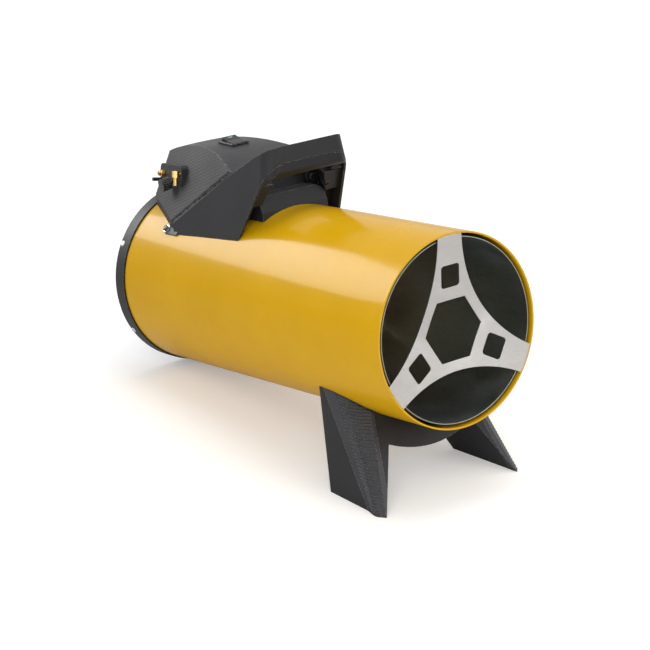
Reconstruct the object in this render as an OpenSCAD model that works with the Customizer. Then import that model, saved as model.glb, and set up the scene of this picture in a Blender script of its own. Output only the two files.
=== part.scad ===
// Gas forced air heater: a tube casing that stands on two front legs and on
// the lower edge of its rear ring, with the outlet raised.
// Heater axes: X across, Y from the outlet plane to the rear, Z up and square
// to the casing's axis. in_heater() lays these axes into the standing object.
// Points are given for the right-hand side, and mirrored for the left.

/* [Stance] */
// Nose-up angle of the casing, in degrees
tilt = 9.6; // [9:0.1:10.2]

/* [Casing] */
// Outer radius of the casing
casing_r = 112; // [109:0.5:115]
// Sheet thickness of the casing
casing_wall = 1; // [0.8:0.1:1.4]
// Length of the casing
casing_len = 522; // [515:1:530]
// Length of the folded hem at the outlet edge
hem_len = 5; // [4:0.5:8]

/* [Rear ring] */
// Length of the rear ring that shows behind the casing
ring_len = 20.4; // [18:0.2:24]
// How far the rear ring stands proud of the casing
ring_proud = 2.1; // [1.5:0.1:3]
// Rounding of the ring's outer rear edge
ring_round = 2; // [1:0.1:3]
// Shadow gap between the casing and the ring
ring_gap = 0.7; // [0.4:0.1:1.2]
// Wall of the ring
ring_wall = 3; // [2.5:0.1:4]
// Width of the ring's inner rear lip
ring_lip = 9; // [7:0.5:12]

/* [Combustion tube] */
// Gap between the combustion tube and the casing
tube_gap = 5; // [4.4:0.1:6]
// Sheet thickness of the combustion tube
tube_wall = 0.8; // [0.6:0.1:1.2]
// Length of the combustion tube
tube_len = 318; // [300:1:330]
// How far the tube's edge lies behind the outlet plane
tube_setback = 3; // [2:0.5:6]

/* [Outlet guard] */
// Sheet thickness of the guard
guard_t = 1.5; // [1.2:0.1:2]
// Half width of an arm at its tip
guard_tip = 16.8; // [14:0.2:19]
// Distance from the axis to the middle of each curved side
guard_waist = 47; // [46.5:0.5:50]
// Dish angle of the guard, in degrees
guard_dish = 6.4; // [5:0.2:8]
// Circumradius of the six-sided hole
guard_hex_r = 40.4; // [37:0.2:41]
// Side of the square holes
guard_square = 26; // [22:0.5:26.5]
// Distance from the axis to the middle of a square hole
guard_square_at = 62.5; // [61.5:0.5:66]
// Length of the tabs that are bent back inside the casing
guard_tab = 9; // [7:0.5:12]

/* [Base stand] */
// Wall of the base moulding
base_wall = 3; // [2.5:0.1:4]
// Depth of the saddle below the casing
saddle_depth = 31; // [28:0.5:34]
// Distance between the legs' outer faces at the floor, halved
foot_out = 107.9; // [105:0.5:110]
// Backward lean of the stand's front face, in degrees
front_lean = 33.9; // [32:0.1:36]
// Pitch of the ribs on the legs
rib_pitch = 3.2; // [3:0.1:5]
// Depth of the ribs
rib_depth = 0.9; // [0.5:0.1:1.2]

/* [Hood] */
// Wall of the hood
hood_wall = 2.6; // [2:0.1:3]
// Thickness of the textured side panels
panel_t = 1.6; // [1.2:0.1:2]
// Height of the hood's crest above the casing
dome_rise = 67.4; // [65:0.2:70]
// Radius of the hood's top, seen from the side
dome_r = 310; // [290:5:340]
// Radius of the hood's top, seen from the front
crown_r = 800; // [700:10:900]
// Length of the hood behind the hand space
hood_len = 199; // [197:0.5:201]
// Lean of the textured panels, in degrees
panel_lean = 28.6; // [27.5:0.1:29.5]
// Taper of the textured panels towards the rear, in degrees
panel_yaw = 11.1; // [10.5:0.1:11.8]

/* [Handle] */
// Wall of the handle yoke
yoke_wall = 3; // [2.5:0.1:3.4]
// Lean of the cheeks, in degrees
cheek_lean = 9.1; // [8.6:0.1:9.6]
// Taper of the cheeks towards the front, in degrees
cheek_yaw = 2.2; // [1.8:0.1:2.6]
// Height of the bar's top edge above the casing
bar_rise = 82.5; // [80:0.5:85]
// Depth of the bar from front to back
bar_depth = 32; // [29:0.5:34]
// Height of the bar's visible front wall
bar_face = 20; // [18:0.5:22]
// Rounding of the yoke's front corners
corner_r = 18; // [15:0.5:20]
// Height of the whole grip, shell and insert
grip_h = 38; // [35:0.5:40]
// Rounding of the grip's underside
grip_round = 8; // [6:0.5:8.5]

/* [Switch] */
// Width of the rocker switch's frame
bezel_w = 26; // [24:0.5:28]
// Length of the rocker switch's frame
bezel_l = 31.5; // [30:0.5:34]
// Thickness of the frame above the hood
bezel_t = 2.2; // [1.8:0.1:2.6]
// Height of the rocker's raised end
rocker_h = 8.5; // [8:0.1:9]
// Angle between the rocker's two positions, in degrees
rocker_swing = 22; // [18:1:23]

/* [Gas fittings] */
// Length of the fitting block
boss_len = 70; // [68:1:72]
// Height of the fitting block
boss_h = 27.5; // [26.5:0.5:28.5]
// Lean of the fitting block's face, in degrees
boss_lean = 10; // [8:0.5:12]
// Turn of the fitting block in its own face, in degrees
boss_roll = 4; // [3:0.5:5]
// Outer radius of the gas inlet nipple
inlet_r = 3; // [2.8:0.1:3.2]
// Length of the gas inlet nipple
inlet_len = 10; // [9:0.5:12]
// Radius of the regulator knob
knob_r = 8; // [7.5:0.1:8.2]
// Length of the regulator knob
knob_len = 12.5; // [11:0.5:14]
// Number of grooves round the knob
knob_grooves = 16; // [12:1:20]

/* [Fan and motor] */
// Outer radius of the fan
fan_r = 97; // [90:0.5:98]
// Number of fan blades
fan_blades = 5; // [3:1:6]
// Pitch of the fan blades, in degrees
fan_pitch = 28; // [22:1:32]
// Radius of the motor
motor_r = 34; // [30:0.5:36]
// Length of the motor
motor_len = 62; // [55:1:66]
// Radius of the motor shaft
shaft_r = 4; // [3:0.5:5]

/* [Hidden] */
$fn = 96;

// Colours
paint_yellow = "#e0a410";
plastic_grey = "#3b3b3f";
plastic_black = "#17171a";
steel_bright = "#c4c6c8";
steel_dark = "#3c4142";
brass_tone = "#c79a4b";
lamp_green = "#2fae7a";
board_green = "#1f5a38";

// Clearances and overruns
cut = 1;            // overrun of a cut past the face that it opens
seat_gap = 0.3;     // gap between mouldings and the casing
fit_gap = 0.25;     // gap between neighbouring mouldings
run_gap = 0.05;     // radial clearance of a shaft that turns in its hole
slide_gap = 0.3;    // clearance of a button in its hole
hole_gap = 0.1;     // clearance of a screw in its hole
reach = 1200;       // side of the large blocks that trim a shape
round_fn = 32;      // segments of small rounded pieces

// Casing stations
ring_r = casing_r + ring_proud;
ring_start = casing_len + ring_gap;
ring_end = ring_start + ring_len;
tube_r = casing_r - casing_wall - tube_gap;
tube_end = tube_setback + tube_len;

// The standing object: the ring's rounded rear edge and the feet touch Z = 0,
// and the box of the whole object is centred on X and Y.
axis_z = (ring_end - ring_round) * sin(tilt)
  + (ring_r - ring_round) * cos(tilt) + ring_round;
rear_reach = (ring_end - ring_round) * cos(tilt)
  + (ring_r - ring_round) * sin(tilt) + ring_round;
front_reach = -casing_r * sin(tilt);
axis_y = -(rear_reach + front_reach) / 2;

module in_heater() {
  translate([0, axis_y, axis_z]) rotate([-tilt, 0, 0]) children();
}

// Local Z becomes the heater's rearward axis, starting at station y
module along(y) translate([0, y, 0]) rotate([-90, 0, 0]) children();

// An outline drawn as seen from the front, extruded from y to y + depth
module front_outline(y, depth) {
  translate([0, y + depth, 0]) rotate([90, 0, 0]) linear_extrude(depth)
    children();
}

// A profile drawn as (station, height), extruded across from x to x + width
module side_profile(x, width) {
  translate([x, 0, 0]) rotate([90, 0, 90]) linear_extrude(width) children();
}

// Turns children from the top of the casing round to an angle on it
module at_angle(phi) rotate([0, phi, 0]) children();

module mirrored() {
  children();
  mirror([1, 0, 0]) children();
}

module hollow_tube(y, len, r_out, r_in) {
  along(y) difference() {
    cylinder(r = r_out, h = len);
    translate([0, 0, -cut]) cylinder(r = r_in, h = len + 2 * cut);
  }
}

// The solid side of a plane: everything behind dir, seen from point at
module half_space(at, dir) {
  n = dir / norm(dir);
  translate(at) rotate([0, -asin(n.z), atan2(n.y, n.x)])
    translate([-reach, -reach / 2, -reach / 2]) cube(reach);
}

module both_half_spaces(at, dir) {
  intersection() {
    half_space(at, dir);
    mirror([1, 0, 0]) half_space(at, dir);
  }
}

// A round bar between two points
module rod(a, b, r) {
  d = b - a;
  translate(a) rotate([0, acos(d.z / norm(d)), atan2(d.y, d.x)])
    cylinder(r = r, h = norm(d), $fn = round_fn);
}

// Shares of a pan head: its straight rim, its crown's width and its cross slot
rim_share = 0.55;
crown_share = 0.62;
slot_reach_share = 0.6;
slot_half_share = 0.11;

// Pan head screw, head on local Z = 0, shank downwards
module pan_screw(head_r, head_h, shank_r, shank_len) {
  difference() {
    union() {
      cylinder(r = head_r, h = head_h * rim_share, $fn = round_fn);
      translate([0, 0, head_h * rim_share])
        cylinder(r1 = head_r, r2 = head_r * crown_share, h = head_h * (1 - rim_share),
          $fn = round_fn);
    }
    for (a = [0, 90]) rotate([0, 0, a])
      translate([-head_r * slot_reach_share, -head_r * slot_half_share, head_h / 2])
        cube([2 * head_r * slot_reach_share, 2 * head_r * slot_half_share, head_h]);
  }
  translate([0, 0, -shank_len]) cylinder(r = shank_r, h = shank_len, $fn = round_fn);
}

function away(a, b, c) = cross(b - a, c - a) / norm(cross(b - a, c - a));

// Casing

// Screw holes and pipe holes through the casing
cable_hole_r = 9;
cable_hole_back = 70;   // from the casing's rear edge
cable_hole_y = casing_len - cable_hole_back;
gas_pipe_r = 4;

module outer_casing() color(paint_yellow) in_heater() difference() {
  union() {
    hollow_tube(0, casing_len, casing_r, casing_r - casing_wall);
    hollow_tube(0, hem_len, casing_r, casing_r - 2 * casing_wall);
  }
  translate([0, cable_hole_y, 0]) cylinder(r = cable_hole_r, h = casing_r + cut);
  at_angle(gas_phi) translate([0, gas_at.y, 0])
    cylinder(r = gas_pipe_r + slide_gap, h = casing_r + cut);
  for (a = base_screw_angles) at_angle(a) translate([0, base_screw_y, casing_r / 2])
    cylinder(r = base_screw_shank_r + hole_gap, h = casing_r, $fn = round_fn);
  for (a = [-lug_angle, lug_angle]) at_angle(a) translate([0, lug_y, casing_r / 2])
    cylinder(r = lug_screw_shank_r + hole_gap, h = casing_r, $fn = round_fn);
}

module combustion_tube() color(steel_dark) in_heater()
  hollow_tube(tube_setback, tube_len, tube_r, tube_r - tube_wall);

// Z-shaped clips that hold the combustion tube in the casing
spacer_w = 14;
spacer_len = 22;
spacer_count = 6;
spacer_stations = [70, 270];

module tube_spacers() color(steel_bright) in_heater()
  for (y = spacer_stations, k = [0 : spacer_count - 1])
    at_angle((k + 0.5) * 360 / spacer_count) intersection() {
      translate([-spacer_w / 2, y, 0]) cube([spacer_w, spacer_len, casing_r]);
      hollow_tube(y, spacer_len, casing_r - casing_wall - fit_gap / 2, tube_r + fit_gap / 2);
    }

// Outlet guard: a dished plate with three arms, each bent back at its tip

guard_r = casing_r - 2 * casing_wall - fit_gap;
tip_angle = asin(guard_tip / guard_r);
// Circle through two neighbouring tip corners and the waist point between
span_half = guard_r * sin(60 - tip_angle);
span_at = guard_r * cos(60 - tip_angle);
span_sag = span_at - guard_waist;
scoop_r = (span_half * span_half + span_sag * span_sag) / (2 * span_sag);

guard_round = 4;        // rounding of the square holes' corners

module round_square(side, r) {
  square([side - 2 * r, side], center = true);
  square([side, side - 2 * r], center = true);
  for (x = [-1, 1], y = [-1, 1])
    translate([x * (side / 2 - r), y * (side / 2 - r)]) circle(r = r, $fn = 48);
}

module guard_outline() {
  difference() {
    circle(r = guard_r, $fn = 128);
    for (a = [30, 150, 270]) rotate(a)
      translate([guard_waist + scoop_r, 0]) circle(r = scoop_r, $fn = 256);
    circle(r = guard_hex_r, $fn = 6);
    for (a = [90, 210, 330]) rotate(a)
      translate([guard_square_at, 0]) round_square(guard_square, guard_round);
  }
}

module outlet_guard() color(steel_bright) in_heater() {
  core = guard_hex_r / 2;
  rise = (guard_r - core) * tan(guard_dish);
  intersection() {
    front_outline(-cut, rise + guard_t + 2 * cut) guard_outline();
    along(0) rotate_extrude($fn = 128)
      polygon([[core, rise], [guard_r, 0], [guard_r, guard_t], [core, rise + guard_t]]);
  }
  // tabs bent back along the casing's inside
  for (a = [0, 120, 240]) at_angle(a) intersection() {
    hollow_tube(guard_t / 2, guard_tab, guard_r - hole_gap, guard_r - guard_t);
    translate([-guard_tip, 0, 0]) cube([2 * guard_tip, 2 * guard_tab, casing_r]);
  }
}

// Rear ring and intake grille

spigot_len = 12;
spigot_gap = 0.2;
ring_screw_angles = [60, 120, 240, 300];
ring_screw_share = 0.72; // place along the ring
ring_screw_y = ring_start + ring_screw_share * ring_len;
ring_screw_head_r = 3.8;
ring_screw_head_h = 2.4;
ring_screw_shank_r = 1.9;
recess_depth = 1.2;

module rear_ring() color(plastic_grey) in_heater() difference() {
  along(0) rotate_extrude($fn = 128) difference() {
    union() {
      translate([ring_r - ring_wall - ring_lip, ring_start])
        square([ring_wall + ring_lip - ring_round, ring_len]);
      translate([ring_r - ring_round - cut, ring_start])
        square([ring_round + cut, ring_len - ring_round]);
      translate([ring_r - ring_round, ring_end - ring_round])
        circle(r = ring_round, $fn = round_fn);
      translate([casing_r - casing_wall - spigot_gap - ring_wall, ring_start - spigot_len])
        square([ring_wall, spigot_len + cut]);
    }
    translate([ring_r - ring_wall - ring_lip - cut, ring_start + ring_wall])
      square([ring_lip + cut, ring_len - 2 * ring_wall]);
    translate([ring_r - ring_wall - ring_lip - cut, ring_start - cut])
      square([casing_r - casing_wall - spigot_gap - ring_r + ring_lip + cut, ring_len / 2]);
  }
  for (a = ring_screw_angles) at_angle(a) translate([0, ring_screw_y, 0]) {
    translate([0, 0, ring_r - recess_depth])
      cylinder(r = ring_screw_head_r + slide_gap, h = recess_depth + cut, $fn = round_fn);
    translate([0, 0, ring_r - ring_wall - cut])
      cylinder(r = ring_screw_shank_r, h = ring_wall + 2 * cut, $fn = round_fn);
  }
}

module ring_screws() color(steel_bright) in_heater()
  for (a = ring_screw_angles) at_angle(a)
    translate([0, ring_screw_y, ring_r - recess_depth])
      pan_screw(ring_screw_head_r, ring_screw_head_h, ring_screw_shank_r,
        ring_wall - recess_depth + cut);

grille_bar = 2.2;
grille_pitch = 12;
grille_hub_r = 15;
grille_r = ring_r - ring_wall - fit_gap;
grille_y = ring_start + ring_wall + fit_gap;
grille_spokes = 8;
grille_hub_in = 3;      // step from the hub's ring to its plate
grille_eye_r = 0.5;

module intake_grille() color(plastic_black) in_heater() {
  for (r = [grille_hub_r : grille_pitch : grille_r - grille_pitch])
    hollow_tube(grille_y, grille_bar, r, r - grille_bar);
  hollow_tube(grille_y, grille_bar, grille_r, grille_r - ring_lip);
  hollow_tube(grille_y, grille_bar, grille_hub_r - grille_hub_in, grille_eye_r);
  along(grille_y) for (k = [0 : grille_spokes - 1]) rotate(k * 360 / grille_spokes)
    translate([grille_bar * 2, -grille_bar / 2, 0])
      cube([grille_r - ring_lip / 2 - grille_bar * 2, grille_bar, grille_bar]);
}

// Base stand, drawn in the standing object's own axes with Y from the outlet.
// Each edge of a leg runs from a floor point up to a point at the casing.

foot_front = 1.5;   // front of the feet, measured back from the outlet's lower edge
stand_top = 150;    // trims the stand inside the casing
strip_back = 1.5;   // thickness of the ribbed strip at its thinnest edge
strip_top = 122;    // height to which the ribs run, inside the casing
rib_nose = 5;       // bulge of the ribbed nose
rib_start = 0.07;   // share of the strip's width taken by the step at its edge
nose_peak = 1.1;    // share of the width at which the nose is fullest, doubled
nose_power = 2.2;   // fullness of the nose
// Points of the legs' edges, measured from the outer face at the floor
foot_at = [foot_out, 0, 0];
a_low = [0, 91.2, 0];
a_high = [-17.6, 136.7, 112.7];
b_low = [-4.8, 23.2, 0];
b_high = [-19.6, 111, 111];
c_low = [-10.7, foot_front, 0];
c_in = -42.8;
c_up = 110;
d_low = [-10.9, foot_front, 0];
d_in = -46.6;
d_up = 63;
e_low = [-29.5, 94.5, 0];
// outer rear edge
edge_a0 = foot_at + a_low;
edge_a1 = foot_at + a_high;
// edge between the outer side and the ribs
edge_b0 = foot_at + b_low;
edge_b1 = foot_at + b_high;
// edge between the ribs and the plain front strip
edge_c0 = foot_at + c_low;
edge_c1 = foot_at + [c_in, foot_front + c_up * tan(front_lean), c_up];
// inner face: two points on its front edge, one on its rear edge
edge_d0 = foot_at + d_low;
edge_d1 = foot_at + [d_in, foot_front + d_up * tan(front_lean), d_up];
edge_e0 = foot_at + e_low;

function facing(n, way) = n * way > 0 ? n : -n;
outward = facing(away(edge_a0, edge_b0, edge_a1), [1, 0, 0]);
forward = [0, -cos(front_lean), sin(front_lean)];
inward = facing(away(edge_d0, edge_e0, edge_d1), [-1, 0, 0]);
rearward = facing(away(edge_a0, edge_a1, edge_e0), [0, 1, 0]);
rearward_level = [0, rearward.y, rearward.z] / norm([rearward.y, rearward.z]);

// The plane behind the ribbed strip: parallel to both diagonals of the strip,
// and just inside the inner one
bevel = facing(cross(edge_c1 - edge_b0, edge_b1 - edge_c0)
  / norm(cross(edge_c1 - edge_b0, edge_b1 - edge_c0)), [1, 0, 0]);
bevel_at = edge_b0 - bevel * strip_back;

module leg_block(inset) intersection() {
  half_space(edge_a0 - outward * inset, outward);
  half_space(edge_c0 - forward * inset, forward);
  half_space(edge_d1 - inward * inset, inward);
  half_space(edge_a0 - rearward * inset, rearward);
  half_space(bevel_at - bevel * inset, bevel);
  half_space([0, 0, inset], [0, 0, -1]);
  half_space([0, 0, stand_top], [0, 0, 1]);
}

// Places heater-axis shapes among the base's own axes
module heater_in_base() translate([0, 0, axis_z]) rotate([-tilt, 0, 0]) children();

module saddle_block(inset) intersection() {
  heater_in_base() along(0) cylinder(r = casing_r + saddle_depth - inset, h = casing_len);
  half_space(edge_c0 - forward * inset, forward);
  half_space(edge_a0 - rearward_level * inset, rearward_level);
  both_half_spaces(edge_a0 - outward * inset, outward);
  both_half_spaces(bevel_at - bevel * inset, bevel);
  half_space([0, 0, stand_top], [0, 0, 1]);
}

module base_solid(inset) {
  leg_block(inset);
  mirror([1, 0, 0]) leg_block(inset);
  saddle_block(inset);
}

base_screw_angles = [162, 198];
base_screw_head_r = 4;
base_screw_head_h = 2.2;
base_screw_shank_r = 2;
base_screw_len = 9;
base_screw_y = 96;
base_boss_r = 5;

module base_screw_places() heater_in_base()
  for (a = base_screw_angles) at_angle(a) translate([0, base_screw_y, 0]) children();

module base_stand() color(plastic_grey) translate([0, axis_y, 0]) difference() {
  union() {
    difference() {
      base_solid(0);
      base_solid(base_wall);
    }
    base_screw_places() translate([0, 0, casing_r])
      cylinder(r = base_boss_r, h = saddle_depth - base_wall / 2, $fn = round_fn);
  }
  heater_in_base() along(-cut) cylinder(r = casing_r + seat_gap, h = casing_len);
  base_screw_places() translate([0, 0, casing_r - cut])
    cylinder(r = base_screw_shank_r, h = base_screw_len + 2 * cut, $fn = round_fn);
}

module base_screws() color(steel_bright) translate([0, axis_y, 0])
  base_screw_places() translate([0, 0, casing_r - casing_wall - fit_gap]) mirror([0, 0, 1])
    pan_screw(base_screw_head_r, base_screw_head_h, base_screw_shank_r, base_screw_len);

// Ribbed strip on a leg: a ring of points at every valley and every crest.
// Each ring runs along the plane behind the strip, out to the side face, over
// the ribs and round the nose to the plain front strip.
nose_steps = 6;

// Point of the edge between two faces of the leg at height z
function meet(n, p, m, q, z) =
  let (
    a = n.x, b = n.y, c = m.x, d = m.y,
    e = n * p - n.z * z, f = m * q - m.z * z,
    det = a * d - b * c
  )
  [(e * d - b * f) / det, (a * f - e * c) / det, z];
function on_edge(p, q, z) = p + (q - p) * (z - p.z) / (q.z - p.z);

function strip_ring(z, lift) =
  let (
    b = on_edge(edge_b0, edge_b1, z),
    c = on_edge(edge_c0, edge_c1, z),
    wide = norm(c - b),
    across = (c - b) / wide,
    side = cross(across, [0, 0, 1]),
    face = side.x > 0 ? side : -side
  )
  concat(
    [meet(outward, edge_a0, bevel, bevel_at, z), b],
    [for (i = [0 : nose_steps])
      let (
        t = i / nose_steps,
        bulge = rib_nose * (1 - pow(abs(2 * t - nose_peak), nose_power))
      )
      b + across * wide * (rib_start + (1 - rib_start) * t) * (1 - lift / wide * t / 2)
        + face * (max(bulge, 0) * (1 - t * t * t) + lift)],
    [c, meet(forward, edge_c0, bevel, bevel_at, z)]
  );

rib_count = floor(strip_top / rib_pitch);
strip_levels = [for (k = [0 : 2 * rib_count])
  [k * strip_top / (2 * rib_count), (k % 2 == 0 ? rib_depth : 0)]];
strip_points = [for (l = strip_levels) each strip_ring(l[0], l[1])];
strip_n = nose_steps + 5;
strip_m = len(strip_levels);
strip_faces = concat(
  [[for (i = [0 : strip_n - 1]) i]],
  [[for (i = [strip_n - 1 : -1 : 0]) (strip_m - 1) * strip_n + i]],
  [for (k = [0 : strip_m - 2], i = [0 : strip_n - 1])
    [k * strip_n + i, (k + 1) * strip_n + i, (k + 1) * strip_n + (i + 1) % strip_n]],
  [for (k = [0 : strip_m - 2], i = [0 : strip_n - 1])
    [k * strip_n + i, (k + 1) * strip_n + (i + 1) % strip_n, k * strip_n + (i + 1) % strip_n]]
);

module leg_ribs() difference() {
  intersection() {
    polyhedron(points = strip_points, faces = strip_faces, convexity = 8);
    half_space(edge_d1, inward);
  }
  heater_in_base() along(-cut) cylinder(r = casing_r + seat_gap, h = casing_len);
}

module leg_ribs_right() color(plastic_grey) translate([0, axis_y, 0]) leg_ribs();
module leg_ribs_left() color(plastic_grey) translate([0, axis_y, 0])
  mirror([1, 0, 0]) leg_ribs();

// Hood: a barrel-shaped top cut by leaning side panels, open to the casing

hood_short = 1;         // the hood ends this far before the casing
hood_rear = casing_len - hood_short;
// Points of the hood, measured from its rear end on the casing's top
hood_base = [0, hood_rear, casing_r];
dome_off = [0, -95, 0];
panel_off = [54.8, -69.4, 19.8];
cheek_off = [82, -82, -34.4];
skirt_off = [80, -78.3, -21.1];
skirt_end_off = [51.5, 0, -0.8];
hood_front = hood_rear - hood_len;
dome_y = (hood_base + dome_off).y;
panel_at = hood_base + panel_off;
panel_dir = [
  cos(panel_lean) * cos(panel_yaw),
  cos(panel_lean) * sin(panel_yaw),
  sin(panel_lean)
];
cheek_at = hood_base + cheek_off;
cheek_dir = [
  cos(cheek_lean) * cos(cheek_yaw),
  -cos(cheek_lean) * sin(cheek_yaw),
  sin(cheek_lean)
];
skirt_at = hood_base + skirt_off;
skirt_to = hood_base + skirt_end_off;
skirt_dir = [skirt_to.y - skirt_at.y, skirt_at.x - skirt_to.x, 0];

module barrel(inset) {
  translate([0, dome_y, casing_r + dome_rise - dome_r]) rotate([0, 90, 0])
    rotate_extrude($fn = 256) intersection() {
      translate([dome_r - crown_r, 0]) circle(r = crown_r - inset, $fn = 512);
      translate([0, -casing_r]) square([dome_r, 2 * casing_r]);
    }
}

module hood_envelope(panel_inset, inset) intersection() {
  barrel(inset);
  both_half_spaces(panel_at - panel_dir * panel_inset, panel_dir);
  both_half_spaces(cheek_at - cheek_dir * (yoke_wall + fit_gap + inset), cheek_dir);
  both_half_spaces(skirt_at - skirt_dir / norm(skirt_dir) * inset, skirt_dir);
}

module slab_y(y, depth) translate([-reach / 2, y, 0]) cube([reach, depth, reach / 2]);

module casing_cut() along(-cut) cylinder(r = casing_r + seat_gap, h = casing_len + ring_len);

module dome_cut_switch() switch_place()
  translate([-switch_w / 2 - slide_gap, -switch_l / 2 - slide_gap, -bezel_l])
    cube([switch_w + 2 * slide_gap, switch_l + 2 * slide_gap, 2 * bezel_l]);

module hood_shell() color(plastic_grey) in_heater() difference() {
  intersection() {
    hood_envelope(panel_t, 0);
    slab_y(hood_front, hood_len);
  }
  intersection() {
    hood_envelope(panel_t + hood_wall, hood_wall);
    slab_y(hood_front - cut, hood_len + cut - hood_wall);
  }
  casing_cut();
  dome_cut_switch();
  gland_place() translate([0, 0, -hood_wall - cut])
    cylinder(r = gland_thread_r + slide_gap / 2, h = hood_wall + 3 * cut, $fn = 48);
  boss_holes();
}

module hood_panel(side) intersection() {
  difference() {
    intersection() {
      hood_envelope(0, 0);
      slab_y(hood_front, hood_len);
    }
    both_half_spaces(panel_at - panel_dir * panel_t, panel_dir);
    casing_cut();
  }
  translate([side > 0 ? 0 : -reach, -cut, 0]) cube([reach, reach, reach]);
}

module hood_panel_right() color(plastic_grey) in_heater() hood_panel(1);
module hood_panel_left() color(plastic_grey) in_heater() difference() {
  hood_panel(-1);
  boss_holes();
}

// Handle yoke: two cheeks and the bar that joins them at the front

bar_ahead = 270;        // from the hood's rear end to the bar's front
bar_y = hood_rear - bar_ahead;
bar_top = casing_r + bar_rise;
seam_top = bar_top - bar_face;
// The yoke's front edge leans back from the bar down to the casing
seam_foot_ahead = 217;
seam_foot_down = 24;
seam_foot = [hood_rear - seam_foot_ahead, casing_r - seam_foot_down];
// Stations of the yoke's top edge, from the bar back to the lower rear corner
bar_top_len = 26;
arm_start_up = 71.6;
arm_end_up = 48.6;
cheek_tail = [-78, -20.6];
top_edge = [
  [bar_y, bar_top],
  [bar_y + bar_top_len, casing_r + arm_start_up],
  [hood_front - seat_gap, casing_r + arm_end_up],
  [hood_rear + cheek_tail.x, casing_r + cheek_tail.y],
  [cheek_at.y, cheek_at.z]
];
bar_rear = bar_y + bar_depth;
top_slope = atan((top_edge[0][1] - top_edge[1][1]) / (top_edge[1][0] - top_edge[0][0]));
seam_lean = atan((seam_foot[0] - bar_y) / (seam_top - seam_foot[1]));

module yoke_profile() polygon(concat(
  [[seam_foot[0] + (seam_foot[1] - casing_r / 2) * tan(seam_lean), casing_r / 2],
    [bar_y, seam_top]],
  top_edge,
  [[cheek_at.y, casing_r / 2]]
));

// Distance from the centre plane to a cheek's outer face at a station and height
function cheek_x(y, z) = cheek_at.x
  - ((y - cheek_at.y) * cheek_dir.y + (z - cheek_at.z) * cheek_dir.z) / cheek_dir.x;

// Rounded front corner: the outside of a leaning post that both faces touch
corner_z = bar_top;
corner_x = cheek_x(bar_y, corner_z);
post_shift = corner_r * (1 - tan(cheek_yaw));
module corner_frame() translate([corner_x, bar_y, corner_z]) rotate([0, -cheek_lean, 0])
  children();
post_len = 160;         // half length of the blocks that round a corner
module corner_waste() corner_frame() difference() {
  translate([-post_shift, -cut, -post_len])
    cube([post_shift + 4 * cut, corner_r + cut, 2 * post_len]);
  translate([-post_shift, corner_r, -post_len - cut])
    cylinder(r = corner_r, h = 2 * post_len + 2 * cut, $fn = 64);
}
module corner_post() corner_frame() translate([-post_shift, corner_r, -post_len])
  difference() {
    cylinder(r = corner_r, h = 2 * post_len, $fn = 64);
    translate([0, 0, -cut])
      cylinder(r = corner_r - yoke_wall, h = 2 * (post_len + cut), $fn = 64);
    translate([-corner_r * 2, -corner_r * 2, -cut])
      cube([corner_r * 2, corner_r * 4, 2 * (post_len + cut)]);
    translate([-corner_r * 2, 0, -cut])
      cube([corner_r * 4, corner_r * 2, 2 * (post_len + cut)]);
  }

module yoke_envelope(inset) difference() {
  intersection() {
    side_profile(-casing_r, 2 * casing_r) yoke_profile();
    both_half_spaces(cheek_at - cheek_dir * inset, cheek_dir);
    both_half_spaces(panel_at, panel_dir);
  }
  mirrored() corner_waste();
}

arm_in = 45;            // half width of the hand space
// Half width of the bar's front wall; it runs on behind the leaning corners
face_half = corner_x - corner_r + grip_h * tan(cheek_lean);
arm_top_turn = 3;       // extra fall of the arms' top, in degrees
arm_top_more = 1;       // extra thickness of the arms' top

module yoke_walls() {
  // cheeks
  difference() {
    slab_y(0, casing_len);
    both_half_spaces(cheek_at - cheek_dir * yoke_wall, cheek_dir);
  }
  // front of the bar
  translate([-face_half, bar_y, 0]) cube([2 * face_half, yoke_wall, reach]);
  mirrored() corner_post();
  // top of the bar and of the arms
  translate([-casing_r, bar_y, bar_top]) rotate([-top_slope, 0, 0])
    translate([0, -bar_depth, -yoke_wall]) cube([2 * casing_r, 2 * bar_depth, 2 * bar_depth]);
  mirrored() translate([arm_in, 0, 0]) intersection() {
    translate([0, top_edge[1].x, top_edge[1].y]) rotate([-top_slope - arm_top_turn, 0, 0])
      translate([0, -bar_depth, -yoke_wall - arm_top_more])
        cube([casing_r, 3 * bar_depth, 2 * bar_depth]);
    slab_y(bar_y, cover_y - bar_y - fit_gap);
  }
  // rear of the bar
  translate([-casing_r, bar_rear - yoke_wall, seam_top]) cube([2 * casing_r, yoke_wall, grip_h]);
}

module yoke_form() intersection() {
  yoke_envelope(0);
  yoke_walls();
}

module hand_space() translate([-arm_in, bar_rear, casing_r])
  cube([2 * arm_in, hood_front - bar_rear, reach / 2]);

module bar_room(inset) translate([-corner_x + corner_r + inset, 0, 0])
  cube([2 * (corner_x - corner_r - inset), casing_len, reach]);

module handle_yoke() color(plastic_grey) in_heater() difference() {
  union() {
    yoke_form();
    for (s = [-1, 1]) lug_plate(s);
  }
  for (s = [-1, 1]) lug_screw_place(s) translate([0, 0, -lug_t - cut])
    cylinder(r = lug_screw_shank_r + hole_gap, h = lug_t + 2 * cut, $fn = round_fn);
  hand_space();
  casing_cut();
  // under the bar the shell ends level, and the insert takes over
  intersection() {
    bar_room(0);
    translate([-reach / 2, bar_y - cut, seam_top - grip_h])
      cube([reach, bar_depth + 2 * cut, grip_h]);
  }
}

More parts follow.
